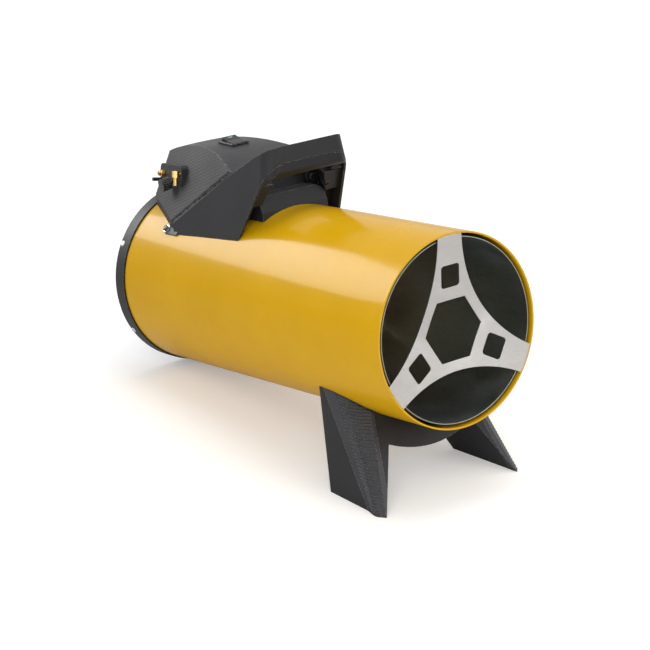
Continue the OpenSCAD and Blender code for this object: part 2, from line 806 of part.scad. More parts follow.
// Rounded section of the insert under the bar
insert_skin = 0.6;
insert_low = bar_top - grip_h;
insert_drop = 7;
module insert_section() side_profile(-casing_r, 2 * casing_r) union() {
  translate([bar_y + insert_skin, insert_low + grip_round])
    square([bar_depth - 2 * insert_skin, grip_h - bar_face - grip_round - fit_gap]);
  translate([bar_y + insert_skin + grip_round, insert_low])
    square([bar_depth - 2 * insert_skin - 2 * grip_round, grip_round + cut]);
  for (y = [bar_y + insert_skin + grip_round, bar_rear - insert_skin - grip_round])
    translate([y, insert_low + grip_round]) circle(r = grip_round, $fn = 48);
}

seam_at = [0, bar_y, seam_top];
seam_dir = [0, -cos(seam_lean), -sin(seam_lean)];

module grip_insert() color(plastic_black) in_heater() {
  // across the bar
  intersection() {
    insert_section();
    bar_room(fit_gap);
  }
  // between the cheeks, behind the rounded corners
  intersection() {
    union() {
      insert_section();
      mirrored() side_profile(arm_in, casing_r)
        polygon([
          [bar_y + corner_r, insert_low - insert_drop],
          [bar_rear - insert_skin, insert_low - insert_drop],
          [bar_rear - insert_skin, insert_low + grip_round],
          [bar_y + corner_r, insert_low + grip_round]
        ]);
    }
    both_half_spaces(cheek_at - cheek_dir * (yoke_wall + fit_gap), cheek_dir);
    slab_y(bar_y + corner_r, bar_depth);
  }
  // in front of the seam, out to the rounded corners
  intersection() {
    insert_section();
    both_half_spaces(cheek_at - cheek_dir * insert_skin, cheek_dir);
    difference() {
      translate([-reach / 2, bar_y, 0]) cube([reach, bar_depth, reach]);
      mirrored() translate([-insert_skin, insert_skin, 0]) corner_waste();
      half_space(seam_at + seam_dir * fit_gap, seam_dir);
    }
  }
}

// Front cover: the wall behind the hand, the collar on the casing and the
// liners inside the arms

cover_t = 3;
cover_y = hood_front - fit_gap - cover_t;
collar_up = 18;
collar_top = casing_r + collar_up;
collar_ahead = 231;
collar_y = hood_rear - collar_ahead;
collar_lean = 7;
collar_half = 48;
collar_round = 12;
ledge_up = 10;
ledge_z = casing_r + ledge_up;
arm_flare = 22;
arm_rise = 8;
arm_plane_x = 46;
arm_plane_back = 36;
arm_plane_at = [arm_plane_x, bar_y + arm_plane_back, ledge_z];
arm_plane_dir = [
  -cos(arm_rise) * cos(arm_flare),
  cos(arm_rise) * sin(arm_flare),
  -sin(arm_rise)
];
recess_upper = 7;
recess_lower = 20;
liner_below = 27.5;
liner_step = 6;
liner_top = seam_top - liner_below;
collar_undercut = 2;

liner_rear = cover_y + cut;
liner_foot = seam_foot[1] + (seam_foot[0] + recess_lower - liner_rear) / tan(seam_lean);
module liner_profile() polygon([
  [liner_rear, liner_foot],
  [seam_foot[0] + recess_lower + (seam_foot[1] - ledge_z) * tan(seam_lean), ledge_z],
  [seam_foot[0] + recess_upper + (seam_foot[1] - ledge_z) * tan(seam_lean), ledge_z],
  [seam_foot[0] + recess_upper + (seam_foot[1] - liner_top) * tan(seam_lean), liner_top],
  [liner_rear, liner_top + liner_step]
]);

module liners() mirrored() intersection() {
  side_profile(0, casing_r) liner_profile();
  half_space(cheek_at - cheek_dir * (yoke_wall + fit_gap), cheek_dir);
  half_space(arm_plane_at, arm_plane_dir);
}

module collar() intersection() {
  side_profile(-casing_r, 2 * casing_r) polygon([
    [collar_y - collar_undercut, casing_r / 2],
    [collar_y, casing_r],
    [collar_y + collar_lean, collar_top],
    [cover_y + cut, collar_top],
    [cover_y + cut, casing_r / 2]
  ]);
  front_outline(collar_y - casing_r, 2 * casing_r) union() {
    translate([-collar_half, casing_r / 2])
      square([2 * collar_half, collar_top - collar_round - casing_r / 2]);
    translate([-collar_half + collar_round, casing_r / 2])
      square([2 * (collar_half - collar_round), collar_top - casing_r / 2]);
    for (s = [-1, 1]) translate([s * (collar_half - collar_round), collar_top - collar_round])
      circle(r = collar_round, $fn = 64);
  }
}

module front_cover() color(plastic_grey) in_heater() difference() {
  union() {
    intersection() {
      hood_envelope(0, 0);
      slab_y(cover_y, cover_t);
    }
    liners();
    collar();
  }
  casing_cut();
  igniter_place() translate([0, 0, -igniter_len])
    cylinder(r = igniter_neck_r + slide_gap, h = 2 * igniter_len, $fn = 48);
  igniter_place() cylinder(r = igniter_collar_r + slide_gap, h = igniter_len, $fn = 48);
  cover_screw_place() translate([0, 0, -2 * cover_t])
    cylinder(r = cover_screw_shank_r, h = 3 * cover_t, $fn = round_fn);
}

cover_screw_shank_r = 1.6;
cover_screw_head_r = 3;
cover_screw_head_h = 2;
cover_screw_end = 2;    // length past the wall
cover_screw_x = -22;
cover_screw_up = 21.5;
module cover_screw_place()
  translate([cover_screw_x, cover_y, casing_r + cover_screw_up]) rotate([90, 0, 0])
    children();
module cover_screw() color(steel_bright) in_heater()
  cover_screw_place() pan_screw(cover_screw_head_r, cover_screw_head_h,
    cover_screw_shank_r, cover_t + cover_screw_end);

// Lug screws at the lower rear corners of the cheeks
lug_off = 3.22;         // from the cheek's foot inwards to the lug's screw
lug_angle = asin((cheek_at.x - lug_off) / casing_r);
lug_ahead = 64;
lug_y = hood_rear - lug_ahead;
lug_w = 12;             // width of the lug across the screw
lug_in = 26;            // length from the screw into the cheek
lug_t = 2;
lug_screw_head_r = 4;
lug_screw_head_h = 3.2;
lug_screw_shank_r = 2;
washer_r = 5.2;
washer_t = 1;

module lug_screw_place(s) at_angle(s * lug_angle)
  translate([0, lug_y, casing_r + seat_gap + lug_t]) children();

// A plate from the cheek's rear corner back to the screw, bent to the casing
module lug_plate(s) difference() {
  intersection() {
    hollow_tube(0, casing_len, casing_r + seat_gap + lug_t, casing_r + seat_gap);
    at_angle(s * lug_angle) union() {
      translate([0, lug_y, casing_r / 2])
        cylinder(r = lug_w / 2, h = casing_r, $fn = 64);
      translate([-lug_w / 2, lug_y - lug_in, casing_r / 2])
        cube([lug_w, lug_in, casing_r]);
    }
  }
  hood_envelope(-fit_gap, -fit_gap);
}

module yoke_screws() color(steel_bright) in_heater()
  for (s = [-1, 1]) lug_screw_place(s) translate([0, 0, washer_t])
    pan_screw(lug_screw_head_r, lug_screw_head_h, lug_screw_shank_r,
      washer_t + lug_t + seat_gap + casing_wall + cut);

module yoke_washers() color(steel_bright) in_heater()
  for (s = [-1, 1]) lug_screw_place(s) difference() {
    cylinder(r = washer_r, h = washer_t, $fn = round_fn);
    translate([0, 0, -cut])
      cylinder(r = lug_screw_shank_r, h = washer_t + 2 * cut, $fn = round_fn);
  }

// Igniter behind the handle
igniter_len = 34;
igniter_neck_r = 7;
igniter_button_r = 5.6;
igniter_x = 45;
igniter_up = 24;
igniter_z = casing_r + igniter_up;
igniter_seat = 8;       // depth of the well below the pressed button
igniter_root = 2;       // button length held in the well
igniter_tip = 1;        // chamfer of the button's end
igniter_collar_r = 8.4;
igniter_out = 10;
igniter_travel = 5;

module igniter_place() translate([igniter_x, cover_y, igniter_z]) rotate([90, 0, 0])
  children();

module igniter_body() color(plastic_black) in_heater() igniter_place() difference() {
  union() {
    translate([0, 0, -igniter_len]) cylinder(r = igniter_neck_r, h = igniter_len + cut, $fn = 64);
    translate([0, 0, fit_gap / 2])
      cylinder(r = igniter_collar_r, h = igniter_out - igniter_travel, $fn = 64);
  }
  translate([0, 0, -igniter_travel - igniter_seat])
    cylinder(r = igniter_button_r + slide_gap, h = igniter_len, $fn = 64);
}

module igniter_button() color(plastic_black) in_heater() igniter_place()
  translate([0, 0, -igniter_travel - igniter_root]) {
    cylinder(r = igniter_button_r, h = igniter_travel + igniter_out + igniter_tip, $fn = 64);
    translate([0, 0, igniter_travel + igniter_out + igniter_tip])
      cylinder(r1 = igniter_button_r, r2 = igniter_button_r - igniter_tip,
        h = igniter_tip, $fn = 64);
  }

// Rocker switch on the hood's crest
switch_w = 24;
switch_l = 29.5;
switch_depth = 24;
rocker_w = 19.4;
rocker_l = 23.6;
rocker_pin_r = 1.6;
rocker_pin_len = 1.4;
switch_ahead = 113;
switch_up = 67;
switch_y = hood_rear - switch_ahead;
switch_z = casing_r + switch_up;
switch_lift = 0.1;      // the body ends this far above its place
bezel_lift = 0.4;       // the frame's underside above the switch's place
bezel_step = 0.8;       // step round the frame's top
bezel_rim_share = 0.6;  // height of that step
well_side = 0.6;          // room beside the rocker in the frame
well_end = 1.9;           // room before and behind the rocker
switch_lean = 3;

module switch_place() translate([0, switch_y, switch_z]) rotate([switch_lean, 0, 0])
  children();

module rocker_bezel() color(plastic_black) in_heater() switch_place() difference() {
  union() {
    translate([-bezel_w / 2, -bezel_l / 2, bezel_lift])
      cube([bezel_w, bezel_l, bezel_t * bezel_rim_share]);
    translate([-bezel_w / 2 + bezel_step, -bezel_l / 2 + bezel_step, bezel_lift])
      cube([bezel_w - 2 * bezel_step, bezel_l - 2 * bezel_step, bezel_t]);
  }
  translate([-rocker_w / 2 - well_side, -rocker_l / 2 - well_end, -cut])
    cube([rocker_w + 2 * well_side, rocker_l + 2 * well_end, bezel_t + 3 * cut]);
}

rocker_pivot = 3.4;
rocker_well = 14;
rocker_dip = 0.8;       // the rocker's middle lies below its ends
rocker_edge = 5;        // height of the rocker's end faces
rocker_taper = 1;
rocker_root = 4;        // half length of its foot
module rocker_axis() translate([0, 0, -rocker_pivot]) rotate([0, 90, 0]) children();

module switch_body() color(plastic_black) in_heater() switch_place() difference() {
  translate([-switch_w / 2, -switch_l / 2, -switch_depth])
    cube([switch_w, switch_l, switch_depth + switch_lift]);
  translate([-rocker_w / 2 - slide_gap, -rocker_l / 2 - well_end, -rocker_well])
    cube([rocker_w + 2 * slide_gap, rocker_l + 2 * well_end, 2 * rocker_well]);
  rocker_axis() translate([0, 0, -rocker_w / 2 - rocker_pin_len - slide_gap])
    cylinder(r = rocker_pin_r + run_gap,
      h = rocker_w + 2 * (rocker_pin_len + slide_gap), $fn = 48);
}

// At rest the front end is pressed and the rear end stands up
module rocker_button() color(plastic_black) in_heater() switch_place() {
  translate([0, 0, -rocker_pivot]) rotate([rocker_swing / 2, 0, 0])
    side_profile(-rocker_w / 2, rocker_w) polygon([
      [-rocker_l / 2, rocker_h],
      [0, rocker_h - rocker_dip],
      [rocker_l / 2, rocker_h],
      [rocker_l / 2 - rocker_taper, rocker_h - rocker_edge],
      [rocker_root, -rocker_h + rocker_taper],
      [-rocker_root, -rocker_h + rocker_taper],
      [-rocker_l / 2 + rocker_taper, rocker_h - rocker_edge]
    ]);
  rocker_axis() translate([0, 0, -rocker_w / 2 - rocker_pin_len])
    cylinder(r = rocker_pin_r, h = rocker_w + 2 * rocker_pin_len, $fn = 48);
}

// Gas fittings on the left panel. Local Z leads outwards from the panel,
// local X leads forwards along it.
boss_off = [-48.4, -36.5, 29.7];
boss_at = hood_base + boss_off;
boss_top = 12.5;
boss_deep = 16;
boss_round = 7;
// Places on the block's face: forward along it, and up it
rear_port = [-21, 0];
front_port = [31, 1.5];
knob_port = [10.3, -8];
button_port = [-29.5, -8];
port_r = 3;
button_r = 2.3;
stem_r = 2.5;
stem_room = 1;          // room round the knob's stem in the hood
manifold_r = 5.5;
manifold_in = 20;

module boss_place() translate(boss_at)
  rotate([0, 90 - boss_lean, 180 - panel_yaw]) rotate(90 + boss_roll) children();

// The pipe leaves the manifold towards the casing's axis
drop_at = -8;
gas_spigot = 14;
gas_at = boss_at
  + manifold_in * [
    cos(boss_lean) * cos(panel_yaw), -cos(boss_lean) * sin(panel_yaw), -sin(boss_lean)
  ]
  + drop_at * [-sin(panel_yaw), -cos(panel_yaw), 0];
gas_phi = atan2(gas_at.x, gas_at.z);
gas_top = norm([gas_at.x, gas_at.z]);

module boss_hole(port, r) boss_place() translate([port.x, port.y, -manifold_in + manifold_r])
  cylinder(r = r + slide_gap, h = 2 * manifold_in, $fn = 48);

module boss_holes() {
  boss_hole(rear_port, port_r);
  boss_hole(front_port, port_r);
  boss_hole(button_port, button_r);
  knob_axis() translate([0, 0, -boss_deep]) cylinder(r = stem_r + stem_room, h = 2 * boss_deep,
    $fn = 48);
}

knob_lean = 20;
knob_start = 5.5;
stem_in = 12;
module knob_axis() boss_place() translate([knob_port.x, knob_port.y, 0])
  rotate([knob_lean, 0, 0]) children();

module fitting_block() color(plastic_grey) in_heater() difference() {
  boss_place() translate([0, boss_top - boss_h / 2, -boss_deep]) union() {
    translate([-boss_len / 2 + boss_round, -boss_h / 2, 0])
      cube([boss_len - 2 * boss_round, boss_h, boss_deep]);
    translate([-boss_len / 2, -boss_h / 2 + boss_round, 0])
      cube([boss_len, boss_h - 2 * boss_round, boss_deep]);
    for (x = [-1, 1], y = [-1, 1])
      translate([x * (boss_len / 2 - boss_round), y * (boss_h / 2 - boss_round), 0])
        cylinder(r = boss_round, h = boss_deep, $fn = 48);
  }
  mirror([1, 0, 0]) half_space(panel_at + panel_dir * fit_gap, panel_dir);
  boss_hole(rear_port, port_r);
  boss_hole(front_port, port_r);
  boss_hole(button_port, button_r);
  knob_axis() translate([0, 0, -boss_deep])
    cylinder(r = stem_r + run_gap, h = 2 * boss_deep, $fn = 48);
}

port_out = 8.5;
port_bore_r = 1.4;
port_bore_deep = 4;
manifold_end = 4;       // the manifold runs this far past each port
pipe_socket = 1;        // wall round the pipe's end
module valve_body() color(brass_tone) in_heater() difference() {
  union() {
    boss_place() translate([rear_port.x - manifold_end, 0, -manifold_in]) rotate([0, 90, 0])
      cylinder(r = manifold_r, h = front_port.x - rear_port.x + 2 * manifold_end, $fn = 48);
    boss_place() translate([rear_port.x, rear_port.y, -manifold_in])
      cylinder(r = port_r, h = manifold_in + port_out, $fn = 48);
    at_angle(gas_phi) translate([0, gas_at.y, gas_top - gas_spigot])
      cylinder(r = gas_pipe_r + pipe_socket, h = gas_spigot, $fn = 48);
  }
  boss_place() translate([rear_port.x, rear_port.y, port_out - port_bore_deep])
    cylinder(r = port_bore_r, h = port_bore_deep + cut, $fn = 24);
}

nut_r = 4.8;
nut_len = 5;
module valve_nuts() color(brass_tone) in_heater() boss_place()
  translate([rear_port.x, rear_port.y, slide_gap]) difference() {
    cylinder(r = nut_r, h = nut_len, $fn = 6);
    translate([0, 0, -cut]) cylinder(r = port_r + hole_gap, h = nut_len + 2 * cut, $fn = 48);
  }

elbow_out = 5.8;
elbow_half = 4;
module inlet_nipple() color(brass_tone) in_heater() boss_place() {
  translate([front_port.x, front_port.y, -manifold_in + manifold_r + slide_gap])
    cylinder(r = port_r, h = manifold_in - manifold_r + elbow_out - slide_gap, $fn = 48);
  translate([front_port.x, front_port.y + elbow_half, elbow_out]) rotate([90, 0, 0])
    cylinder(r = nut_r, h = 2 * elbow_half, $fn = 6);
  translate([front_port.x, front_port.y - elbow_half + cut, elbow_out]) rotate([90, 0, 0])
    cylinder(r = inlet_r, h = inlet_len + cut, $fn = 64);
}

groove_r = 0.8;
groove_end = 1;         // the grooves stop this far before the knob's face
module regulator_knob() color(plastic_black) in_heater() knob_axis() {
  translate([0, 0, knob_start]) difference() {
    cylinder(r = knob_r, h = knob_len);
    for (k = [0 : knob_grooves - 1]) rotate(k * 360 / knob_grooves) translate([knob_r, 0, -cut])
      cylinder(r = groove_r, h = knob_len - groove_end, $fn = 16);
  }
  translate([0, 0, -stem_in]) cylinder(r = stem_r, h = stem_in + knob_start + cut, $fn = 48);
}

button_out = 12.5;
button_in = 10;
button_travel = 3;
module valve_button() color(plastic_black) in_heater() boss_place()
  translate([button_port.x, button_port.y, -button_in])
    cylinder(r = button_r, h = button_in + button_out, $fn = 48);

// Gas line and burner

burner_ahead = 272;     // from the casing's rear edge
burner_y = casing_len - burner_ahead;
cup_front_r = 66;
cup_back_r = 26;
cup_len = 46;
cup_wall = 1;
nozzle_gap = 4;         // from the cup's back to the nozzle
nozzle_y = burner_y + cup_len + nozzle_gap;
nozzle_len = 16;
nozzle_hex_r = 8;
nozzle_body_r = 6;
nozzle_tip_r = 3;
nozzle_tip_len = 8;
nozzle_jet_r = 0.8;
nozzle_eye_r = 9;       // hole in the cup's back
probe_off = 12;
probe_back = 30;        // length of a probe behind the cup
spark_front = 20;
sensor_front = 14;
spark_r = 1.5;
sensor_r = 2;

pipe_bend_r = 12;
pipe_low = 80;
pipe_run = 50;          // from the nozzle to the pipe's drop
pipe_drop_y = nozzle_y + pipe_run;
pipe_stop = gas_top - gas_spigot - fit_gap;

// A quarter bend about a centre, starting from local down at turn 0
module pipe_bend(y, z, turn) translate([0, y, z]) rotate([0, 90, 0]) rotate(turn)
  rotate_extrude(angle = 90, $fn = 64) translate([pipe_bend_r, 0])
    circle(r = gas_pipe_r, $fn = round_fn);

module gas_pipe() color(brass_tone) in_heater() {
  at_angle(gas_phi) {
    translate([0, gas_at.y, pipe_low + pipe_bend_r])
      cylinder(r = gas_pipe_r, h = pipe_stop - pipe_low - pipe_bend_r, $fn = round_fn);
    pipe_bend(gas_at.y - pipe_bend_r, pipe_low + pipe_bend_r, 0);
    translate([0, 0, pipe_low]) along(pipe_drop_y + pipe_bend_r)
      cylinder(r = gas_pipe_r, h = gas_at.y - pipe_drop_y - 2 * pipe_bend_r, $fn = round_fn);
    pipe_bend(pipe_drop_y + pipe_bend_r, pipe_low - pipe_bend_r, 180);
    translate([0, pipe_drop_y, pipe_bend_r])
      cylinder(r = gas_pipe_r, h = pipe_low - 2 * pipe_bend_r, $fn = round_fn);
    pipe_bend(pipe_drop_y - pipe_bend_r, pipe_bend_r, 0);
    along(nozzle_y + nozzle_len + fit_gap)
      cylinder(r = gas_pipe_r, h = pipe_drop_y - pipe_bend_r - nozzle_y - nozzle_len - fit_gap,
        $fn = round_fn);
  }
}

module burner_nozzle() color(brass_tone) in_heater() {
  along(nozzle_y) difference() {
    union() {
      cylinder(r = nozzle_hex_r, h = nozzle_len / 2, $fn = 6);
      translate([0, 0, -nozzle_tip_len])
        cylinder(r1 = nozzle_tip_r, r2 = nozzle_body_r, h = nozzle_tip_len, $fn = 48);
      translate([0, 0, nozzle_len / 2])
        cylinder(r = nozzle_body_r, h = nozzle_len / 2, $fn = 48);
    }
    translate([0, 0, -nozzle_tip_len - cut])
      cylinder(r = nozzle_jet_r, h = nozzle_tip_len + nozzle_len + 2 * cut, $fn = 24);
  }
}

module burner_cup() color(steel_dark) in_heater() along(burner_y) difference() {
  cylinder(r1 = cup_front_r, r2 = cup_back_r, h = cup_len);
  translate([0, 0, -cup_wall]) cylinder(r1 = cup_front_r, r2 = cup_back_r, h = cup_len);
  translate([0, 0, cup_len - 3 * cut]) cylinder(r = nozzle_eye_r, h = 6 * cut);
  for (x = [-probe_off, probe_off]) translate([x, -probe_off, cup_len - 3 * cut])
    cylinder(r = sensor_r + slide_gap, h = 6 * cut, $fn = round_fn);
}

bracket_w = 12;
bracket_t = 2;
bracket_r = tube_r - tube_wall - fit_gap;

module burner_bracket() color(steel_dark) in_heater() intersection() {
  for (a = [0, 120, 240]) at_angle(a)
    translate([-bracket_w / 2, burner_y + cup_len + fit_gap, 0])
      cube([bracket_w, bracket_t, casing_r]);
  hollow_tube(burner_y, 2 * cup_len, bracket_r, nozzle_hex_r + fit_gap);
}

// A probe through the cup's back, to one side of the nozzle
module probe(x, front, r)
  rod([x, burner_y + cup_len + probe_back, probe_off], [x, burner_y + front, probe_off], r);

module spark_electrode() color(steel_bright) in_heater()
  probe(probe_off, spark_front, spark_r);

module flame_sensor() color(brass_tone) in_heater()
  probe(-probe_off, sensor_front, sensor_r);

// Motor and fan

fan_ahead = 26;         // from the rear ring to the fan's front
fan_y = ring_start - fan_ahead;
motor_gap = 14;         // from the motor to the fan
motor_y = fan_y - motor_gap - motor_len;
motor_nose_r = 12;
motor_nose_len = 6;
motor_bore_front = 10;  // the bore starts this far inside the motor
shaft_front = 14;       // the shaft starts this far inside the motor
shaft_end = 8;          // the shaft's length past the hub
hub_r = 20;
hub_len = 14;
fan_nut_r = 8;
fan_nut_len = 5;
blade_t = 1.6;
blade_chord = 44;
blade_root = 3;         // the blades start this far inside the hub
blade_room = 10;        // the blades reach this far past the hub's ends
bracket_share = 0.6;    // place of the bracket along the motor
motor_screw_head_r = 3;
motor_screw_head_h = 1.8;

bracket_y = motor_y + motor_len * bracket_share;
bracket_len = 14;
bracket_sheet = 2.5;
ring_out = motor_r + fit_gap + bracket_sheet;
motor_screw_r = 1.5;
motor_screw_len = 6;

module motor_screw_places() for (a = [0, 120, 240]) at_angle(a)
  translate([0, bracket_y + bracket_len / 2, ring_out]) children();

module motor_body() color(steel_dark) in_heater() difference() {
  along(motor_y) {
    cylinder(r = motor_r, h = motor_len);
    translate([0, 0, motor_len]) cylinder(r = motor_nose_r, h = motor_nose_len);
  }
  along(motor_y + motor_bore_front) cylinder(r = shaft_r + run_gap, h = motor_len);
  motor_screw_places() translate([0, 0, -motor_screw_len - cut])
    cylinder(r = motor_screw_r + hole_gap, h = 2 * motor_screw_len, $fn = round_fn);
}

module motor_bracket() color(steel_bright) in_heater() difference() {
  union() {
    hollow_tube(bracket_y, bracket_len, ring_out, motor_r + fit_gap);
    for (a = [60, 180, 300]) at_angle(a) {
      translate([-bracket_len / 2, bracket_y, ring_out - cut])
        cube([bracket_len, bracket_sheet, casing_r - casing_wall - ring_out - bracket_sheet / 2]);
      intersection() {
        hollow_tube(bracket_y, bracket_len, casing_r - casing_wall - fit_gap,
          casing_r - casing_wall - bracket_sheet - fit_gap);
        translate([-bracket_len / 2, bracket_y, 0]) cube([bracket_len, bracket_len, casing_r]);
      }
    }
  }
  motor_screw_places() translate([0, 0, -motor_screw_len - cut])
    cylinder(r = motor_screw_r + hole_gap, h = 2 * motor_screw_len, $fn = round_fn);
}

module motor_screws() color(steel_bright) in_heater()
  motor_screw_places() pan_screw(motor_screw_head_r, motor_screw_head_h,
    motor_screw_r, motor_screw_len);

module motor_shaft() color(steel_bright) in_heater()
  along(motor_y + shaft_front)
  cylinder(r = shaft_r, h = fan_y + hub_len + shaft_end - motor_y - shaft_front, $fn = 64);

module fan_blades_set() color(steel_bright) in_heater() along(fan_y) {
  difference() {
    union() {
      cylinder(r = hub_r, h = hub_len);
      intersection() {
        difference() {
          translate([0, 0, -blade_room]) cylinder(r = fan_r, h = hub_len + 2 * blade_room);
          translate([0, 0, -blade_room - cut])
            cylinder(r = hub_r - blade_t, h = hub_len + 2 * (blade_room + cut));
        }
        for (k = [0 : fan_blades - 1]) rotate(k * 360 / fan_blades)
          translate([0, 0, hub_len / 2]) rotate([fan_pitch, 0, 0])
            translate([hub_r - blade_root, -blade_chord / 2, -blade_t / 2])
              cube([fan_r, blade_chord, blade_t]);
      }
    }
    translate([0, 0, -cut]) cylinder(r = shaft_r + run_gap, h = hub_len + 2 * cut, $fn = 64);
  }
}

module fan_nut() color(steel_bright) in_heater() along(fan_y + hub_len + run_gap) difference() {
  cylinder(r = fan_nut_r, h = fan_nut_len, $fn = 6);
  translate([0, 0, -cut])
    cylinder(r = shaft_r + run_gap, h = fan_nut_len + 2 * cut, $fn = 64);
}

// Electrics inside the hood

board_up = 12;          // height of the board above the casing's top
board_z = casing_r + board_up;
board_ahead = 176;
board_y = hood_rear - board_ahead;
board_w = 60;
board_l = 70;
board_t = 1.6;
post_r = 3;
post_inset = 6;
// Size and place of each part on the board, from its front left corner
relay = [18, 22, 12];
relay_at = [10, 10, board_t];
timer = [14, 14, 10];
timer_at = [36, 14, board_t];
capacitor_r = 6;
capacitor_h = 14;
capacitor_at = [12, 44, board_t];
terminal = [28, 12, 10];
terminal_at = [26, 48, board_t + fit_gap];
thermostat_ahead = 96;
thermostat_flange = [8, 4];  // radius and height
thermostat_can = [6, 6];

module on_board(at) translate([-board_w / 2, board_y, board_z] + at) children();

module board_posts() color(steel_bright) in_heater() difference() {
  for (x = [post_inset, board_w - post_inset], y = [post_inset, board_l - post_inset])
    on_board([x, y, -2 * board_up]) cylinder(r = post_r, h = 2 * board_up, $fn = round_fn);
  along(0) cylinder(r = casing_r + hole_gap, h = casing_len);
}

module control_board() color(board_green) in_heater() {
  on_board([0, 0, 0]) cube([board_w, board_l, board_t]);
  on_board(relay_at) cube(relay);
  on_board(timer_at) cube(timer);
  on_board(capacitor_at) cylinder(r = capacitor_r, h = capacitor_h, $fn = 48);
}

module terminal_block() color("white") in_heater() on_board(terminal_at) cube(terminal);

module safety_thermostat() color(steel_bright) in_heater()
  translate([0, hood_rear - thermostat_ahead, casing_r + hole_gap]) {
    cylinder(r = thermostat_flange.x, h = thermostat_flange.y, $fn = 48);
    translate([0, 0, thermostat_flange.y])
      cylinder(r = thermostat_can.x, h = thermostat_can.y, $fn = 48);
  }

gland_thread_r = 6;
gland_bore_r = 3.6;
gland_nut_r = 8.5;
gland_nut_len = 4;
gland_in = 12;          // length of the thread inside the hood's rear wall
gland_cap = [7.5, 5.5, 7];  // the cap's radius at each end, and its length
gland_x = 16;
gland_up = 20;
module gland_place() translate([gland_x, hood_rear, casing_r + gland_up])
  rotate([-90, 0, 0]) children();

module cable_gland() color(plastic_black) in_heater() gland_place() difference() {
  union() {
    translate([0, 0, -gland_in])
      cylinder(r = gland_thread_r, h = gland_in + gland_nut_len, $fn = 64);
    translate([0, 0, fit_gap]) cylinder(r = gland_nut_r, h = gland_nut_len, $fn = 6);
    translate([0, 0, gland_nut_len])
      cylinder(r1 = gland_cap.x, r2 = gland_cap.y, h = gland_cap.z, $fn = 64);
  }
  translate([0, 0, -gland_in - cut])
    cylinder(r = gland_bore_r, h = gland_in + gland_nut_len + gland_cap.z + 2 * cut, $fn = 64);
}

module gland_nut() color(plastic_black) in_heater() gland_place() difference() {
  translate([0, 0, -hood_wall - fit_gap - gland_nut_len])
    cylinder(r = gland_nut_r, h = gland_nut_len, $fn = 6);
  translate([0, 0, -hood_wall - 2 * gland_nut_len])
    cylinder(r = gland_thread_r + run_gap, h = 2 * gland_nut_len, $fn = 64);
}

outer_casing();
combustion_tube();
tube_spacers();
outlet_guard();
rear_ring();
ring_screws();
intake_grille();
base_stand();
leg_ribs_left();
leg_ribs_right();
base_screws();
hood_shell();
hood_panel_left();
hood_panel_right();
handle_yoke();
grip_insert();
front_cover();
cover_screw();
yoke_screws();
yoke_washers();
igniter_body();
igniter_button();
rocker_bezel();
switch_body();
rocker_button();
fitting_block();
valve_body();
valve_nuts();
inlet_nipple();
regulator_knob();
valve_button();
gas_pipe();
burner_nozzle();
burner_cup();
burner_bracket();
spark_electrode();
flame_sensor();
motor_body();
motor_bracket();
motor_screws();
motor_shaft();
fan_blades_set();
fan_nut();
control_board();
board_posts();
terminal_block();
safety_thermostat();
cable_gland();
gland_nut();
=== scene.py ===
# %% [markdown]
# ## The heater and its frame
# The object is a gas forced air heater: a yellow steel drum that blows hot air, held on a
# plastic stand, with a dark hood and a carrying handle on its back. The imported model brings
# every sub-part in metres, already in its place, so nothing here is moved or resized. This
# lesson gives each sub-part the finish of the real one and adds the few small things that
# are too thin to be solids of their own.

# %% Load the frame
import math
import bmesh
import bpy
from mathutils import Matrix, Vector


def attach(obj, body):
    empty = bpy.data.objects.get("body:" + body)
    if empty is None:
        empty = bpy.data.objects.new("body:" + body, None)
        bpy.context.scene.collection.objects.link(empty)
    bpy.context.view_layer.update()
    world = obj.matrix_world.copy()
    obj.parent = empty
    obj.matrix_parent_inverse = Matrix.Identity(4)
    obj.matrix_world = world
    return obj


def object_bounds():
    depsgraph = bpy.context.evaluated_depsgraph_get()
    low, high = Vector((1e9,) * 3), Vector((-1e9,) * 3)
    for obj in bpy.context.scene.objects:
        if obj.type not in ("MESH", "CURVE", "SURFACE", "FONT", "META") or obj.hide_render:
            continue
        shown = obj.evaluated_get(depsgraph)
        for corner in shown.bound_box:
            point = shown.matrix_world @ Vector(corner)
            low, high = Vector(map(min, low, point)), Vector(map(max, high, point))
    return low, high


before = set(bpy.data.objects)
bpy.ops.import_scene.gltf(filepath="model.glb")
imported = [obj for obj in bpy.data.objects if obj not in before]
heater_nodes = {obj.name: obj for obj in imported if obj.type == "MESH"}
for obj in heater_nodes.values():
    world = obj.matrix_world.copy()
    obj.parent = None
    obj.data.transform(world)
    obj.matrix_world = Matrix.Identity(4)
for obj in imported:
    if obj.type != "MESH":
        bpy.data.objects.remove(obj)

for leftover in ("Cube", "Light", "Camera"):
    if leftover in bpy.data.objects:
        bpy.data.objects.remove(bpy.data.objects[leftover])
bpy.context.view_layer.update()
cad_low, cad_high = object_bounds()
print("sub-parts:", len(heater_nodes), "size:", [round(v, 4) for v in cad_high - cad_low])

# %% [markdown]
# ## The camera
# The photograph looks at the outlet from the front left and a little from above. Its place
# and lens were worked out from straight edges and circles of known size on the heater. A
# long lens, about 125 mm, keeps the drum's far end almost as large as its near end.

# %% Place the camera
camera_data = bpy.data.cameras.new("photo_camera")
camera_data.lens = 125.04
camera_data.sensor_width = 36.0
camera_data.clip_end = 100.0
camera = bpy.data.objects.new("photo_camera", camera_data)
bpy.context.scene.collection.objects.link(camera)
camera.location = (-1.5126, -2.0259, 1.1623)
look_along = Vector((0.55728, 0.73803, -0.38047))
camera.rotation_euler = look_along.to_track_quat("-Z", "Y").to_euler()
bpy.context.scene.camera = camera
print("camera height:", round(camera.location.z, 3), "m")

